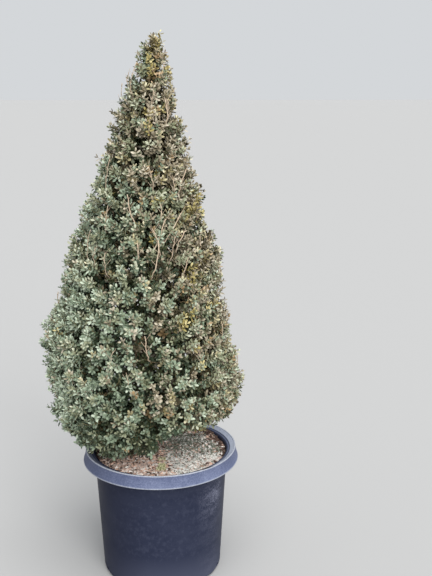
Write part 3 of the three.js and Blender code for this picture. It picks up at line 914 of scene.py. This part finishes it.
def make_bed():
    wall = [
        (POT_BASE_R - POT_FOOT_ROUND - MIX_GAP, POT_FLOOR + MIX_GAP),
        (POT_BASE_R - POT_WALL - MIX_GAP, POT_FOOT_ROUND + MIX_GAP),
    ]
    rings = np.concatenate([[0.012], np.linspace(0.05, 0.97, BED_RINGS), [0.985, 1.0]])
    points, faces = turned(wall + [(EDGE * ring, MIX_Z) for ring in rings[::-1]], BED_STEPS)
    top = points[len(wall) * BED_STEPS :]
    top[:, 2] += bed_height(top[:, 0], top[:, 1])
    look = Look("potting_mix_look", colour(120, 98, 86), 0.95, 0.2)
    grain = look.noise(120, 5, 0.7)
    # the bed is painted dark where it sinks deep, as painted shadow inside the crack
    sunk = look.spread(look.xyz()["Z"], (MIX_Z - 11) * MM, (MIX_Z - 15) * MM)
    tinted = look.ramp(grain, zip((0.34, 0.5, 0.64), BED_TINTS))
    look.paint(look.blend(sunk, tinted, CRACK_SHADOW_TINT))
    look.rough(look.spread(grain, 0.3, 0.7, 0.98, 0.8))
    look.bump(grain, 0.8, 0.003)
    bed = make_piece("mix_bed", (points, faces), look.material)
    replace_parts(bed, "potting_mix")


def on_bed(count, stream, crack_share):
    """Items spread over the bed, and their places. None is at the trunk or deep in the crack."""
    k = np.arange(count)
    radius = EDGE * BED_REACH * np.sqrt(chance(k, stream))
    angle = 2 * np.pi * chance(k, stream + 1)
    x, y = radius * np.cos(angle), radius * np.sin(angle)
    clear = from_foot(x, y) > TRUNK_R + FLARE_R + TRUNK_ROOM
    clear &= in_crack(x, y) < crack_share
    return k[clear], x[clear], y[clear]


def pale_share(x, y):
    """How thickly dry clippings cover the bed: most on the right of the front."""
    on_right = fade(x + 0.12 * y, -2, 32)
    off_wall = clamp01((EDGE - 12 - np.hypot(x - 6, y + 14)) / 22)
    return clamp01(on_right * off_wall * (0.95 + 0.5 * lumps(stacked(x, y, 0.0), 45, 33)))


CHIP_CORNERS = np.array(list(np.ndindex(2, 2, 2))) * 2.0 - 1
CHIP_FACES = np.array(
    [(0, 1, 3, 2), (4, 6, 7, 5), (0, 4, 5, 1), (2, 3, 7, 6), (0, 2, 6, 4), (1, 5, 7, 3)]
)


def chips(x, y, k, longest):
    """Rough blocks of bark lying on the bed."""
    length = longest * (0.45 + 0.55 * chance(k, 41) ** 1.5)
    wide, thick = 0.35 + 0.4 * chance(k, 42), 0.14 + 0.16 * chance(k, 43)
    size = stacked(length, length * wide, length * thick) / 2
    rough = even_xyz(k[:, None] * len(CHIP_CORNERS) + np.arange(len(CHIP_CORNERS)), 44)
    corners = CHIP_CORNERS * (1 + 0.42 * rough) * size[:, None]
    turn, tilt = 2 * np.pi * chance(k, 48), 0.5 * even(k, 49)
    along = stacked(np.cos(turn) * np.cos(tilt), np.sin(turn) * np.cos(tilt), np.sin(tilt))
    side = unit(stacked(-np.sin(turn), np.cos(turn), 0.6 * even(k, 50)))
    side = unit(across_from(side, along))
    basis = np.stack([along, side, np.cross(along, side)], axis=1)
    z = MIX_Z + bed_height(x, y) + size[:, 2] * 0.7 + 1.4 * chance(k, 26)
    points = stacked(x, y, z)[:, None] + np.einsum("nci,nij->ncj", corners, basis)
    faces = CHIP_FACES + (np.arange(len(k)) * len(CHIP_CORNERS))[:, None, None]
    return points.reshape(-1, 3), [faces.reshape(-1, 4)]


# Kinds of bark chips: name, dark and pale tint, longest, and how far the draws for this kind go
CHIP_KINDS = [
    ("chips_red", colour(206, 164, 142), colour(250, 220, 202), 14, 0.34),
    ("chips_brown", colour(174, 148, 137), colour(228, 208, 197), 14, 0.6),
    ("chips_tan", colour(244, 232, 222), colour(255, 252, 248), 11, 0.84),
    ("chips_dark", colour(78, 60, 54), colour(118, 96, 86), 14, 1),
]
RED, TAN, DARK = 0, 2, 3


def make_chips():
    k, x, y = on_bed(CHIPS, 21, 0.2)
    # fewer show where clippings cover them
    bare = chance(k, 24) > 0.5 * pale_share(x, y)
    k, x, y = k[bare], x[bare], y[bare]
    kind = np.searchsorted([row[-1] for row in CHIP_KINDS], chance(k, 25))
    # the front edge and the clippings have tan chips in place of red ones
    tan_instead = 0.75 * pale_share(x, y) + 0.4 * fade(y, -95, -125)
    kind = np.where((kind == RED) & (chance(k, 27) < tan_instead), TAN, kind)
    # and dark ones lie in the shade along the wall
    shaded = clamp01((np.hypot(x, y) - EDGE + 20) / 8) * fade(y, -80, -40)
    kind = np.where(chance(k, 28) < 0.75 * shaded, DARK, kind)
    for i, (name, dark, pale, longest, _) in enumerate(CHIP_KINDS):
        look = Look(f"{name}_look", dark, 0.9, 0.25)
        grain = look.noise(190, 4, 0.7, (1, 0.5, 1))
        look.paint(look.ramp(grain, [(0.34, dark), (0.66, pale)]))
        look.bump(grain, 0.5, 0.0015)
        mine = kind == i
        shape = chips(x[mine], y[mine], k[mine], longest)
        make_piece(name, shape, look.material, smooth=False)


CLIPPING_TINTS = {
    "clippings_grey": colour(246, 246, 240),
    "clippings_green_shaded": colour(134, 140, 124),
    "clippings_straw": colour(250, 244, 236),
}
GREY, SHADED_GREEN, STRAW = range(3)


def make_clippings():
    k, x, y = on_bed(CLIPPINGS, 61, 0.15)
    there = chance(k, 64) < 0.03 + 0.97 * pale_share(x, y)
    k, x, y = k[there], x[there], y[there]
    turn = 2 * np.pi * chance(k, 65)
    along = stacked(np.cos(turn), np.sin(turn), 0.25 * even(k, 66))
    upper = unit(stacked(0.5 * even(k, 67), 0.5 * even(k, 68), 1))
    length = 6 + 6 * chance(k, 69)
    width = length * (0.26 + 0.24 * chance(k, 70))
    middle = stacked(x, y, MIX_Z + bed_height(x, y) + 2.6 + 3.4 * chance(k, 71))
    root = middle - along * (length / 2)[:, None]
    tip = root + along * length[:, None]
    inside = (np.hypot(*root.T[:2]) < EDGE - 4) & (np.hypot(*tip.T[:2]) < EDGE - 2)
    curl = 1 + 2.2 * chance(k, 73)
    # the darker grey-green ones lie mostly towards the skirt, their darkness painted shade under
    # it, the palest along the front edge
    green = 0.12 + 0.66 * fade(y, -62, 8)
    draw = chance(k, 72)
    kind = np.where(draw < green + (1 - green) * 0.55, GREY, STRAW)
    kind = np.where(draw < green, SHADED_GREEN, kind)
    for i, (name, tint) in enumerate(CLIPPING_TINTS.items()):
        mine = inside & (kind == i)
        grown = (column[mine] for column in (root, along, upper, length, width, curl))
        look = leaf_look(f"{name}_look", tint, 0.7)
        make_piece(name, leaves(*grown, PLAIN_LEAF_SHAPE), look)


# Tufts of moss: place and reach. The first is the thickest.
MOSS_TUFTS = np.array([(-1, -108, 11), (3, -88, 10), (5, -62, 13)])
MOSS_TINTS = (colour(150, 152, 104), colour(238, 236, 200))


def make_moss():
    """A tuft of moss near the front of the bed, which thins out towards the middle."""
    k = np.arange(MOSS_LEAVES)
    pick = (chance(k, 81) ** 3.4 * len(MOSS_TUFTS)).astype(int)
    pick = np.minimum(pick, len(MOSS_TUFTS) - 1)
    tuft_x, tuft_y, tuft_reach = MOSS_TUFTS[pick].T
    radius = tuft_reach * chance(k, 82) ** 0.8
    angle = 2 * np.pi * chance(k, 83)
    x, y = tuft_x + radius * np.cos(angle), tuft_y + radius * np.sin(angle)
    swell = np.where(pick == 0, 5, 1) * (1 - (radius / tuft_reach) ** 2)
    root = stacked(x, y, MIX_Z + bed_height(x, y) + swell + 1)
    lean = stacked(0.7 * even(k, 84), 0.7 * even(k, 85), 1)
    upper = stacked(even(k, 86), even(k, 87), 0.2)
    length = 5 + 7 * chance(k, 88) * (1 - 0.5 * (pick > 0))
    columns = (root, lean, upper, length, length * 0.26, np.ones(len(k)))
    for i, tint in enumerate(MOSS_TINTS):
        mine = (chance(k, 89) > 0.42) == bool(i)
        look = leaf_look(f"moss_look_{i + 1}", tint, 0.8)
        shape = leaves(*(column[mine] for column in columns))
        make_piece(f"moss_{i + 1}", shape, look)


make_bed()
make_chips()
make_clippings()
make_moss()


# Wood with the bark's relief
TRUNK_RINGS = 230
TRUNK_SIDES = 44
BARK_LOOK = wood_look("bark_look", colour(86, 72, 56), colour(168, 152, 126), 90)


def run_along(paths):
    """The length along each path up to each of its points."""
    steps = np.linalg.norm(np.diff(paths, axis=1), axis=2)
    return np.pad(np.cumsum(steps, axis=1), ((0, 0), (1, 0)))


def ridges(paths, radii, sides, depth, stream):
    """The radii of limbs made uneven: long corky ridges broken by cracks across."""
    turn = corner_angles(sides)
    around = radii[:, :, None] * np.ones(sides)
    apart = 311 * np.arange(len(paths))[:, None, None]
    along = run_along(paths)[..., None] * 0.3
    where = stacked(around * np.cos(turn) + apart, around * np.sin(turn), along)
    coarse = lumps(where, 9.0, stream)
    fine = lumps(where * np.array((1, 1, 2.4)), 4.0, stream + 1)
    cracks = np.abs(lumps(where, 6.0, stream + 2))
    rough = 0.55 * coarse + 0.3 * fine - 0.9 * np.exp(-cracks * 9)
    return around + depth * rough * np.minimum(1, around / 14)


def make_trunk():
    shares = np.linspace(0, 1, TRUNK_RINGS)
    path = TRUNK.at(shares)[None]
    base = trunk_radius(shares, 0.3)[None]
    relief = ridges(path, base, TRUNK_SIDES, 1.5, 91) - base[..., None]
    # the flare has the same lobes as the solid's
    radii = trunk_radius(shares[:, None], corner_angles(TRUNK_SIDES)) + relief
    points, faces = tubes(path, radii, TRUNK_SIDES)
    points[:, 2] = np.maximum(points[:, 2], FOOT[2] - 3)
    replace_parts(make_piece("trunk_bark", (points, faces), BARK_LOOK), "trunk")


def make_limbs(name, lines, thick, taper, rings, sides, depth, stream):
    """Limbs along lines, each from its radius at the root, with bark of some depth."""
    shares = np.linspace(0, 1, rings)
    paths = np.array([line.at(shares) for line in lines])
    radii = np.array(thick)[:, None] * (1 - taper * shares)
    shape = tubes(paths, ridges(paths, radii, sides, depth, stream), sides)
    return make_piece(name, shape, BARK_LOOK)


def make_boughs():
    thick = [m["r"] for m in MASSES if not m["alone"]]
    piece = make_limbs("boughs_bark", BOUGHS.values(), thick, BOUGH_TAPER, 30, 14, 0.9, 94)
    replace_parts(piece, *[f"bough_{label}" for label in BOUGHS])


def make_stems():
    thick = [TRUNK_TIP_R if m["alone"] else m["r"] * STEM_SHARE for m in MASSES]
    piece = make_limbs("stems_bark", STEMS, thick, STEM_TAPER, 26, 10, 0.5, 97)
    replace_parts(piece, *[f"foliage_{m['label']}" for m in MASSES])


make_trunk()
make_boughs()
make_stems()


# Dark gaps that show in front, sunk into the crown and with their leaves painted darker as shade:
# how far right and how high, half width, half height, and strength
DARK_GAPS = [
    (-113, 976, 12, 24, 1.2),
    (-134, 866, 14, 24, 1.1),
    (-144, 616, 13, 17, 1),
    (-123, 1043, 11, 20, 0.8),
    (-117, 1101, 24, 8, 0.7),
    (-83, 568, 17, 18, 1.5),
    (-42, 1117, 13, 13, 0.8),
    (-58, 474, 12, 24, 1),
    (-31, 694, 20, 26, 1.7),
    (-30, 606, 12, 22, 1.3),
    (-19, 515, 20, 28, 1.3),
    (-11, 722, 10, 26, 1.2),
    (15, 1109, 13, 15, 0.8),
    (20, 668, 14, 12, 1.2),
    (47, 945, 12, 21, 1.2),
    (54, 820, 13, 26, 1.2),
    (57, 600, 26, 14, 1.3),
    (122, 808, 10, 14, 0.9),
]
# Where the clipped outline swells or dips: azimuth, level, half widths along both, and depth
SWELLS = [
    (0, 900, 0.7, 55, 18),
    (math.pi, 722, 0.6, 28, 14),
    (math.pi, 440, 0.8, 60, -18),
    (-1.475, 425, 0.11, 26, 15),
    (-1.78, 425, 0.1, 26, 10),
    (-2.0, 415, 0.13, 34, -15),
]
LEAN = 6
LEAN_Z = 1120
LEAN_SPREAD = 110
SHOOT_PROUD = 9  # how far shoots end outside the outline before gaps and the skirt draw them in
GAP_DEPTH = 32
SKIRT_DEPTH = 9


# The twigs, from the stems outwards: sprigs, then finer twigs from each sprig, then leafy shoots
def clear_of_pot(points):
    """True where a point is clear of the pot's rim and of the mix."""
    away, z = np.hypot(points[..., 0], points[..., 1]), points[..., 2]
    over_mix = (away < POT_WALL_TOP_R - 6) & (z > MIX_Z + MIX_CLEAR - 4)
    over_rim = z > POT_HEIGHT + POT_CLEAR
    outside = (away > BAND_R + POT_CLEAR) & (z > POT_HEIGHT - 60)
    return over_mix | over_rim | outside


def nearest_parent(points, masses, parent_points, parent_masses):
    """The nearest parent of the same mass for each point."""
    distance = np.linalg.norm(points[:, None] - parent_points[None], axis=-1)
    distance = np.where(masses[:, None] == parent_masses[None], distance, 1e6)
    return np.argmin(distance, axis=1)


def share_along(paths, share):
    """One point on each path, at its share of the way."""
    m = paths.shape[1]
    where = share * (m - 1)
    low = np.minimum(where.astype(int), m - 2)
    rows = np.arange(len(paths))
    return mix(paths[rows, low], paths[rows, low + 1], (where - low)[:, None])


def grown_from(root, tip, heading, share, count):
    """Curves from roots to tips. They arrive along headings for a share of the way."""
    reach = np.linalg.norm(tip - root, axis=1) * share
    return bezier(root, tip - heading * reach[:, None], tip, count)


def grow_sprigs():
    ends = sprig_ends(SPRIGS)
    size = thinness(ends["end"][:, 2])
    tip = ends["end"] - ends["heading"] * (44 * size)[:, None]
    share = 0.95 - 0.5 * chance(ends["k"], 6)
    root = np.array([STEMS[mass].at(s) for mass, s in zip(ends["mass"], share)])
    path = bezier(root, tip - ends["heading"] * LEAFY_DEPTH, tip, 13)
    return dict(path=path, tip=tip, mass=ends["mass"])


def grow_twigs(sprigs):
    ends = sprig_ends(TWIGS, stray=15)
    size = thinness(ends["end"][:, 2])
    tip = ends["end"] - ends["heading"] * ((34 + 8 * chance(ends["k"], 6)) * size)[:, None]
    parent = nearest_parent(tip, ends["mass"], sprigs["tip"], sprigs["mass"])
    root = share_along(sprigs["path"][parent], 0.5 + 0.48 * chance(ends["k"], 7))
    path = grown_from(root, tip, ends["heading"], 0.45, 9)
    return dict(path=path, mass=ends["mass"], reach=ends["end"])


def gaps_at(end):
    """How deep the gaps are at shoots' ends: 1 is as deep as the upright gaps go."""
    x, y, z = end.T
    ragged = 0.26 * fade(z, 490, 430)
    closed = 0.2 + 0.04 * fade(z, 700, 850)
    gap = clamp01((lumps(end * np.array((1, 1, 0.36)), 27, 140) + ragged - closed) / 0.22)
    for dark_x, dark_z, wide, tall, strength in DARK_GAPS:
        away = np.hypot((x - dark_x) / wide, (z - dark_z) / tall)
        gap = np.maximum(gap, strength * clamp01(1.9 - 1.3 * away) * (y < 0))
    return gap


def swollen(height, end):
    """The heights of shoots with the outline's swells and dips added."""
    turn = np.arctan2(end[:, 1] - AXIS_Y, end[:, 0] - axis_x(end[:, 2]))
    for aim, level, wide, tall, swell in SWELLS:
        aside = (np.mod(turn - aim + np.pi, 2 * np.pi) - np.pi) / wide
        height = height + swell * np.exp(-(aside**2) - ((end[:, 2] - level) / tall) ** 2)
    return height


def grow_shoots(twigs, count, sunk, stream):
    """Leafy shoots. Those of one twig draw together into a tuft, and tufts differ in height."""
    ends = sprig_ends(count, 0.12, 6)
    k, out, end = ends["k"], ends["out"], ends["end"]
    parent = nearest_parent(end, ends["mass"], twigs["reach"], twigs["mass"])
    size = thinness(end[:, 2])
    pull = across_from(twigs["reach"][parent] - end, out)
    end = end + pull * (0 if sunk else 0.3)
    # a tuft is highest in its middle
    off_middle = np.minimum(np.linalg.norm(pull, axis=1) / 24, 1.2)
    height = 7 * lumps(end, 60, stream) + 5 * even(parent, stream + 1) - 7.5 * off_middle**2
    height = height - 9 * chance(k, stream + 2) ** 1.5 + 8 * (chance(k, stream + 9) > 0.93)
    height = swollen(np.minimum(height, 12), end)
    gap = gaps_at(end) * (0.15 if sunk else 1) * (1 - 0.55 * fade(end[:, 2], 1060, 1200))
    low = fade(end[:, 2], 500, 390)
    height = height + SHOOT_PROUD - sunk - GAP_DEPTH * gap - SKIRT_DEPTH * low
    end = end + out * (height * size)[:, None]
    # the clipped top leans a little to the right
    end[:, 0] += LEAN * np.exp(-(((end[:, 2] - LEAN_Z) / LEAN_SPREAD) ** 2))
    root = share_along(twigs["path"][parent], 0.55 + 0.44 * chance(k, stream + 3))
    wander = even_xyz(k, stream + 4)
    heading = 0.35 * ends["heading"] + 0.55 * unit(end - root) + 0.36 * wander
    heading = unit(heading + np.array((0, 0, 0.62)))
    path = grown_from(root, end - heading * (9 * size)[:, None], heading, 0.5, 7)
    grown = dict(k=k, path=path, heading=heading, out=out, end=end, size=size, gap=gap)
    return chosen(grown, clear_of_pot(path).all(axis=1))


def grow_leaders():
    """A few upright shoots that stand out of the clipped tip."""
    k = np.arange(LEADERS)
    angle = k * GOLDEN_ANGLE
    out = stacked(np.cos(angle), np.sin(angle), 0.5)
    root = np.array((0, 3, TIP_Z - 62)) + out * (4 + 8 * chance(k, 301))[:, None]
    top = stacked(12 * np.cos(angle), 12 * np.sin(angle), 28 + 26 * chance(k, 302) ** 1.5)
    end = np.array((2, 5, TIP_Z - 42)) + top * (0.35 + 0.65 * chance(k, 303))[:, None]
    bend = mix(root, end, 0.6) + out * 3
    grown = dict(k=k + 9000, path=bezier(root, bend, end, 7), heading=unit(end - bend))
    size, gap = np.full(LEADERS, SMALLEST_LEAF), np.zeros(LEADERS)
    return dict(grown, out=unit(out), end=end, size=size, gap=gap)


def leaf_sites(grown, pairs, spacing, stream):
    """Where the leaves of shoots sit: a pair at each tip, then more, each turned from the last."""
    k, path, out = grown["k"], grown["path"], grown["out"]
    total = run_along(path)[:, -1]
    side = unit(np.cross(grown["heading"], out + 0.31))
    made = []
    for pair in range(pairs + 1):
        at_tip = pair == 0
        back = 0.6 + pair * spacing * (0.88 + 0.24 * chance(k, stream + 1))
        share = 1 - back / total
        here, ahead, before = (
            share_along(path, clamp01(share + step)) for step in (0, 0.06, -0.06)
        )
        tangent = unit(ahead - before)
        across = unit(across_from(side, tangent))
        azimuth = 2 * np.pi * chance(k, stream + 2) + pair * np.pi / 2
        azimuth = azimuth + 0.35 * even(k * 9 + pair, stream + 3)
        for half in (0, 1):
            item = k * 31 + pair * 2 + half
            radial = turned_about(across, tangent, azimuth + half * np.pi)
            outward = np.sum(radial * out, axis=1, keepdims=True)
            radial = unit(radial - 0.45 * outward * out)
            splay = (0.42 if at_tip else 0.78 + 0.07 * pair) + 0.2 * even(item, stream + 4)
            along = tangent * np.cos(splay)[:, None] + radial * np.sin(splay)[:, None]
            # leaves turn their upper side to the light
            upper = unit(across_from(tangent, along)) + 0.4 * out + np.array((0, 0, 0.3))
            length = LEAF_LENGTH * (0.78 if at_tip else 1.0) * (1 + 0.16 * even(item, stream + 5))
            there = (share > 0.12) & (chance(item, stream + 6) > 0.06 + 0.05 * pair)
            sites = dict(item=item, root=here, along=along, upper=upper, length=length)
            sites.update(shoot=np.arange(len(k)), pair=np.full(len(k), pair))
            made.append(chosen(sites, there))
    return merged(made)


SPRIG_TWIGS = grow_sprigs()
FINE_TWIGS = grow_twigs(SPRIG_TWIGS)
SHOOTS = [grow_shoots(FINE_TWIGS, count, sunk, stream) for _, count, sunk, stream, *_ in LAYERS]
SHOOTS[0] = merged([SHOOTS[0], grow_leaders()])
TWIG_LOOK = wood_look("twig_look", colour(92, 78, 56), colour(158, 140, 108), 220, 0.75)
SHOOT_LOOK = wood_look("shoot_look", colour(104, 98, 64), colour(168, 154, 112), 300, 0.6)


def tapered(paths, thick, thin, sides, bolder=1):
    """Tubes along paths that go from thick to thin, each bolder by its own factor."""
    radii = mix(thick, thin, np.linspace(0, 1, paths.shape[1])) * bolder
    return tubes(paths, np.atleast_2d(radii), sides)


def make_twigs():
    sprig_wood = tapered(SPRIG_TWIGS["path"][:, ::2], 2.7, 1.5, 4)
    make_piece("sprig_wood", sprig_wood, TWIG_LOOK)
    twig_wood = tapered(FINE_TWIGS["path"][:, ::2], 1.45, 0.95, 3)
    make_piece("twig_wood", twig_wood, TWIG_LOOK)
    for (name, *_), grown in zip(LAYERS, SHOOTS):
        wood = tapered(grown["path"][:, ::3], 0.85, 0.5, 3)
        make_piece(f"{name}_wood", wood, SHOOT_LOOK)


# Bare tan twigs that show in front: how far right and how high each starts, its length and its lean
BARE_SPOTS = [
    (37, 1234, 80, 0.03),
    (0, 905, 66, 0.07),
    (5, 968, 52, 0.36),
    (5, 962, 36, -0.5),
    (14, 1012, 44, -0.09),
    (36, 988, 48, 0.8),
    (44, 962, 24, 1.5),
    (-67, 1024, 56, -0.18),
    (55, 1086, 48, 0.76),
    (116, 996, 30, -0.83),
    (-50, 916, 50, -0.02),
    (71, 890, 40, 0.28),
    (-137, 992, 60, 0.1),
    (-32, 684, 60, -0.05),
]
STALK_POINTS = 9
SPURS = 4


def make_bare_twigs():
    spots = len(BARE_SPOTS)
    k = np.arange(spots + BARE_TWIGS)
    angle = k * GOLDEN_ANGLE + 0.8
    z = 520 + 860 * chance(k, 261) ** 1.2
    length = 34 + 34 * chance(k, 262)
    lean = 0.3 * even(k, 263)
    right, z[:spots], length[:spots], lean[:spots] = np.array(BARE_SPOTS).T
    aside_share = (right - axis_x(z[:spots])) / crown_radius(z[:spots])
    angle[:spots] = -np.arccos(np.clip(aside_share, -0.95, 0.95))
    out = stacked(np.cos(angle), np.sin(angle), SIDE_SLOPE)
    aside = stacked(-np.sin(angle), np.cos(angle), 0)
    run = unit(stacked(-SIDE_SLOPE * np.cos(angle), -SIDE_SLOPE * np.sin(angle), 1))
    start = crown_point(angle, crown_radius(z) - 16, z)
    tip = start + run * length[:, None] + aside * (lean * length)[:, None] + out * 17
    forks = share_along(FINE_TWIGS["path"], np.full(TWIGS, 0.8))
    parent = nearest_parent(start - run * 26 - out * 8, mass_at(start), forks, FINE_TWIGS["mass"])
    stalks = bezier(forks[parent], start + out * 20, tip, STALK_POINTS)
    # each stalk is crooked at its joints
    joints = k[:, None] * STALK_POINTS + np.arange(STALK_POINTS)
    stalks[:, 2:-1] += 2.2 * even_xyz(joints, 281)[:, 2:-1]
    bolder = np.where(k < spots, 1.6, 1.0)[:, None]
    shapes = [tapered(stalks, 1.35, 0.7, 4, bolder)]
    for i in range(SPURS):
        here = share_along(stalks, 0.5 + 0.13 * i + 0.05 * even(k, 264 + i))
        way = run + aside * (0.9 if i % 2 else -0.9) + out * (0.5 * chance(k, 270 + i))[:, None]
        way = unit(way)
        reach = (10 + 14 * chance(k, 275 + i))[:, None]
        spurs = bezier(here, here + way * reach * 0.5, here + way * reach + run * 3, 4)
        shapes.append(tapered(spurs, 0.7, 0.4, 3))
    look = wood_look("bare_twig_look", colour(168, 146, 122), colour(224, 206, 182), 260, 0.7)
    make_piece("bare_twigs", joined(shapes), look)


make_twigs()
make_bare_twigs()

# The leaf colours: a family by place for each shoot, and a shade for each leaf. The dark and pale
# shades are partly the leaves' own tone and partly painted shade and painted highlight.
FAMILIES = {
    "cool": (colour(55, 69, 50), colour(129, 144, 121), colour(178, 190, 169)),
    "olive": (colour(60, 67, 43), colour(139, 144, 116), colour(184, 187, 163)),
    "bronze": (colour(70, 64, 46), colour(148, 138, 116), colour(190, 181, 161)),
    "straw": (colour(128, 118, 82), colour(180, 171, 134), colour(213, 206, 174)),
    "rust": (colour(114, 94, 64), colour(160, 135, 98), colour(196, 170, 136)),
    "gold": (colour(98, 89, 48), colour(164, 152, 96), colour(204, 192, 140)),
}
SHADES = ("dark", "middle", "pale")
SHADE_STEPS = (0.38, 0.85)
# Where sprays have turned to mustard: place and reach
GOLD_SPOTS = [
    (107, -50, 1062, 26),
    (88, -143, 896, 22),
    (-20, -78, 1267, 18),
    (-11, -166, 973, 12),
    (9, -136, 1059, 16),
    (120, -187, 690, 19),
    (72, -194, 785, 18),
    (150, -120, 800, 16),
    (-150, -170, 640, 16),
    (40, 190, 760, 24),
    (-210, 90, 700, 22),
    (150, 110, 600, 24),
]
# Tufts paler than the rest: place and reach
PALE_TUFTS = [
    (-26, -228, 425, 26),
    (-96, -222, 425, 26),
]


def nearness(points, spots, edge):
    """How near points are to any of the spots, from 0 at edge times its reach up to 1."""
    near = np.zeros(len(points))
    for *place, reach in spots:
        away = np.linalg.norm(points - np.array(place), axis=1) / reach
        near = np.maximum(near, clamp01(edge - away))
    return near


def family_shares(points):
    """How likely each family is: cool low on the left, bronze on the right and high up."""
    x, z = points[:, 0], points[:, 2]
    radius = np.maximum(crown_radius(np.clip(z, WAIST_Z, TIP_Z - 40)), 40)
    right = np.clip((x - axis_x(z)) / radius, -1.1, 1.1)
    warm = 1 + 12 * right + 13 * (z - 850) / 1000
    warm = warm + 7 * fade(z, 1060, 1180) * (1 - 0.6 * fade(z, 1290, 1370))
    warm = warm + 6 * lumps(points, 115, 151) + 5 * lumps(points, 48, 152)
    bronze = np.clip(0.2 + 0.027 * warm, 0.03, 0.6)
    cool = np.clip(0.38 - 0.036 * warm, 0.04, 0.88)
    straw = np.clip(0.03 + 0.004 * warm, 0.008, 0.12)
    rust = np.clip(0.008 + 0.002 * warm, 0.001, 0.05)
    # the right of the tip is mostly mustard
    top = fade(z, 1372, 1432) * clamp01(1.4 * right + 0.45)
    rust = rust * (1 - top) + 0.06 * top
    olive = np.maximum(0.05, 1 - bronze - cool - straw - rust)
    gold = np.maximum(0.005 + top, 2.2 * nearness(points, GOLD_SPOTS, 1.7))
    shares = stacked(cool, olive, bronze, straw, rust, gold)
    return shares / shares.sum(axis=1, keepdims=True)


def painted_light_and_paleness(points):
    """How much paler leaves are painted, as light and shade: most low on the left and paler at the
    tip as painted light, least under the skirt's front and low down as painted shade; the listed
    tufts are paler too.
    """
    x, y, z = points.T
    right_of_axis = x - axis_x(z)
    left, right = fade(right_of_axis, 0, -220), fade(right_of_axis, 60, 180)
    under = fade(z, 520, 440) * fade(y, -100, -180)
    sides = 0.3 * left * fade(z, 1360, 1160) + 0.12 * right * fade(z, 980, 680)
    tip = 0.05 * fade(z, 1240, 1380) + 0.12 * fade(z, 1400, 1430)
    low = (0.2 + 0.14 * right - 0.18 * left) * fade(z, 530, 440)
    tuft = 0.5 * nearness(points, PALE_TUFTS, 1.6)
    return sides * fade(z, 430, 540) - 0.26 * under - low + tip + tuft


def coloured_sites(layer, grown):
    """The leaf sites of a layer, each with its family, its shade and its size."""
    pairs, spacing, stream, dark, larger = layer[4:]
    sites = leaf_sites(grown, pairs, spacing, stream)
    shoot = sites["shoot"]
    below = np.cumsum(family_shares(grown["end"]), axis=1)
    family = (chance(grown["k"], stream + 11)[:, None] > below).sum(axis=1)
    shade = chance(grown["k"], stream + 12)[shoot] * 0.8
    shade = shade + chance(sites["item"], stream + 13) * 0.5
    # painted light and shade by place, and painted shade on the leaves in gaps
    shade = shade + painted_light_and_paleness(sites["root"]) - 0.4 * grown["gap"][shoot]
    # leaves further back along a shoot and in the inner layers are painted darker, as shade
    sites["shade"] = np.digitize(shade - 0.05 * sites["pair"] - dark, SHADE_STEPS)
    sites["family"] = family[shoot]
    sites["plain"] = np.full(len(shoot), larger > 1)
    sites["size"] = larger * (0.8 + 0.2 * grown["size"])[shoot]
    return sites


def make_leaves():
    sites = merged([coloured_sites(layer, grown) for layer, grown in zip(LAYERS, SHOOTS)])
    tips = sites["root"] + unit(sites["along"]) * sites["length"][:, None]
    sites = chosen(sites, clear_of_pot(tips) & clear_of_pot(sites["root"]))
    item = sites["item"]
    length = sites["length"] * sites["size"]
    width = length * (LEAF_WIDTH / LEAF_LENGTH) * (1 + 0.14 * even(item, 191))
    curl = 0.8 + 1.3 * chance(item, 192)
    upper = unit(sites["upper"]) + 0.3 * even_xyz(item, 193)
    columns = (sites["root"], sites["along"], upper, length, width, curl)
    for f, (family, tints) in enumerate(FAMILIES.items()):
        for s, (shade, tint) in enumerate(zip(SHADES, tints)):
            mine = (sites["family"] == f) & (sites["shade"] == s)
            shapes = []
            for plain, shape in ((False, LEAF_SHAPE), (True, PLAIN_LEAF_SHAPE)):
                rows = mine & (sites["plain"] == plain)
                shapes.append(leaves(*(column[rows] for column in columns), shape))
            name = f"leaves_{family}_{shade}"
            make_piece(name, joined(shapes), leaf_look(f"{name}_look", tint))


make_leaves()
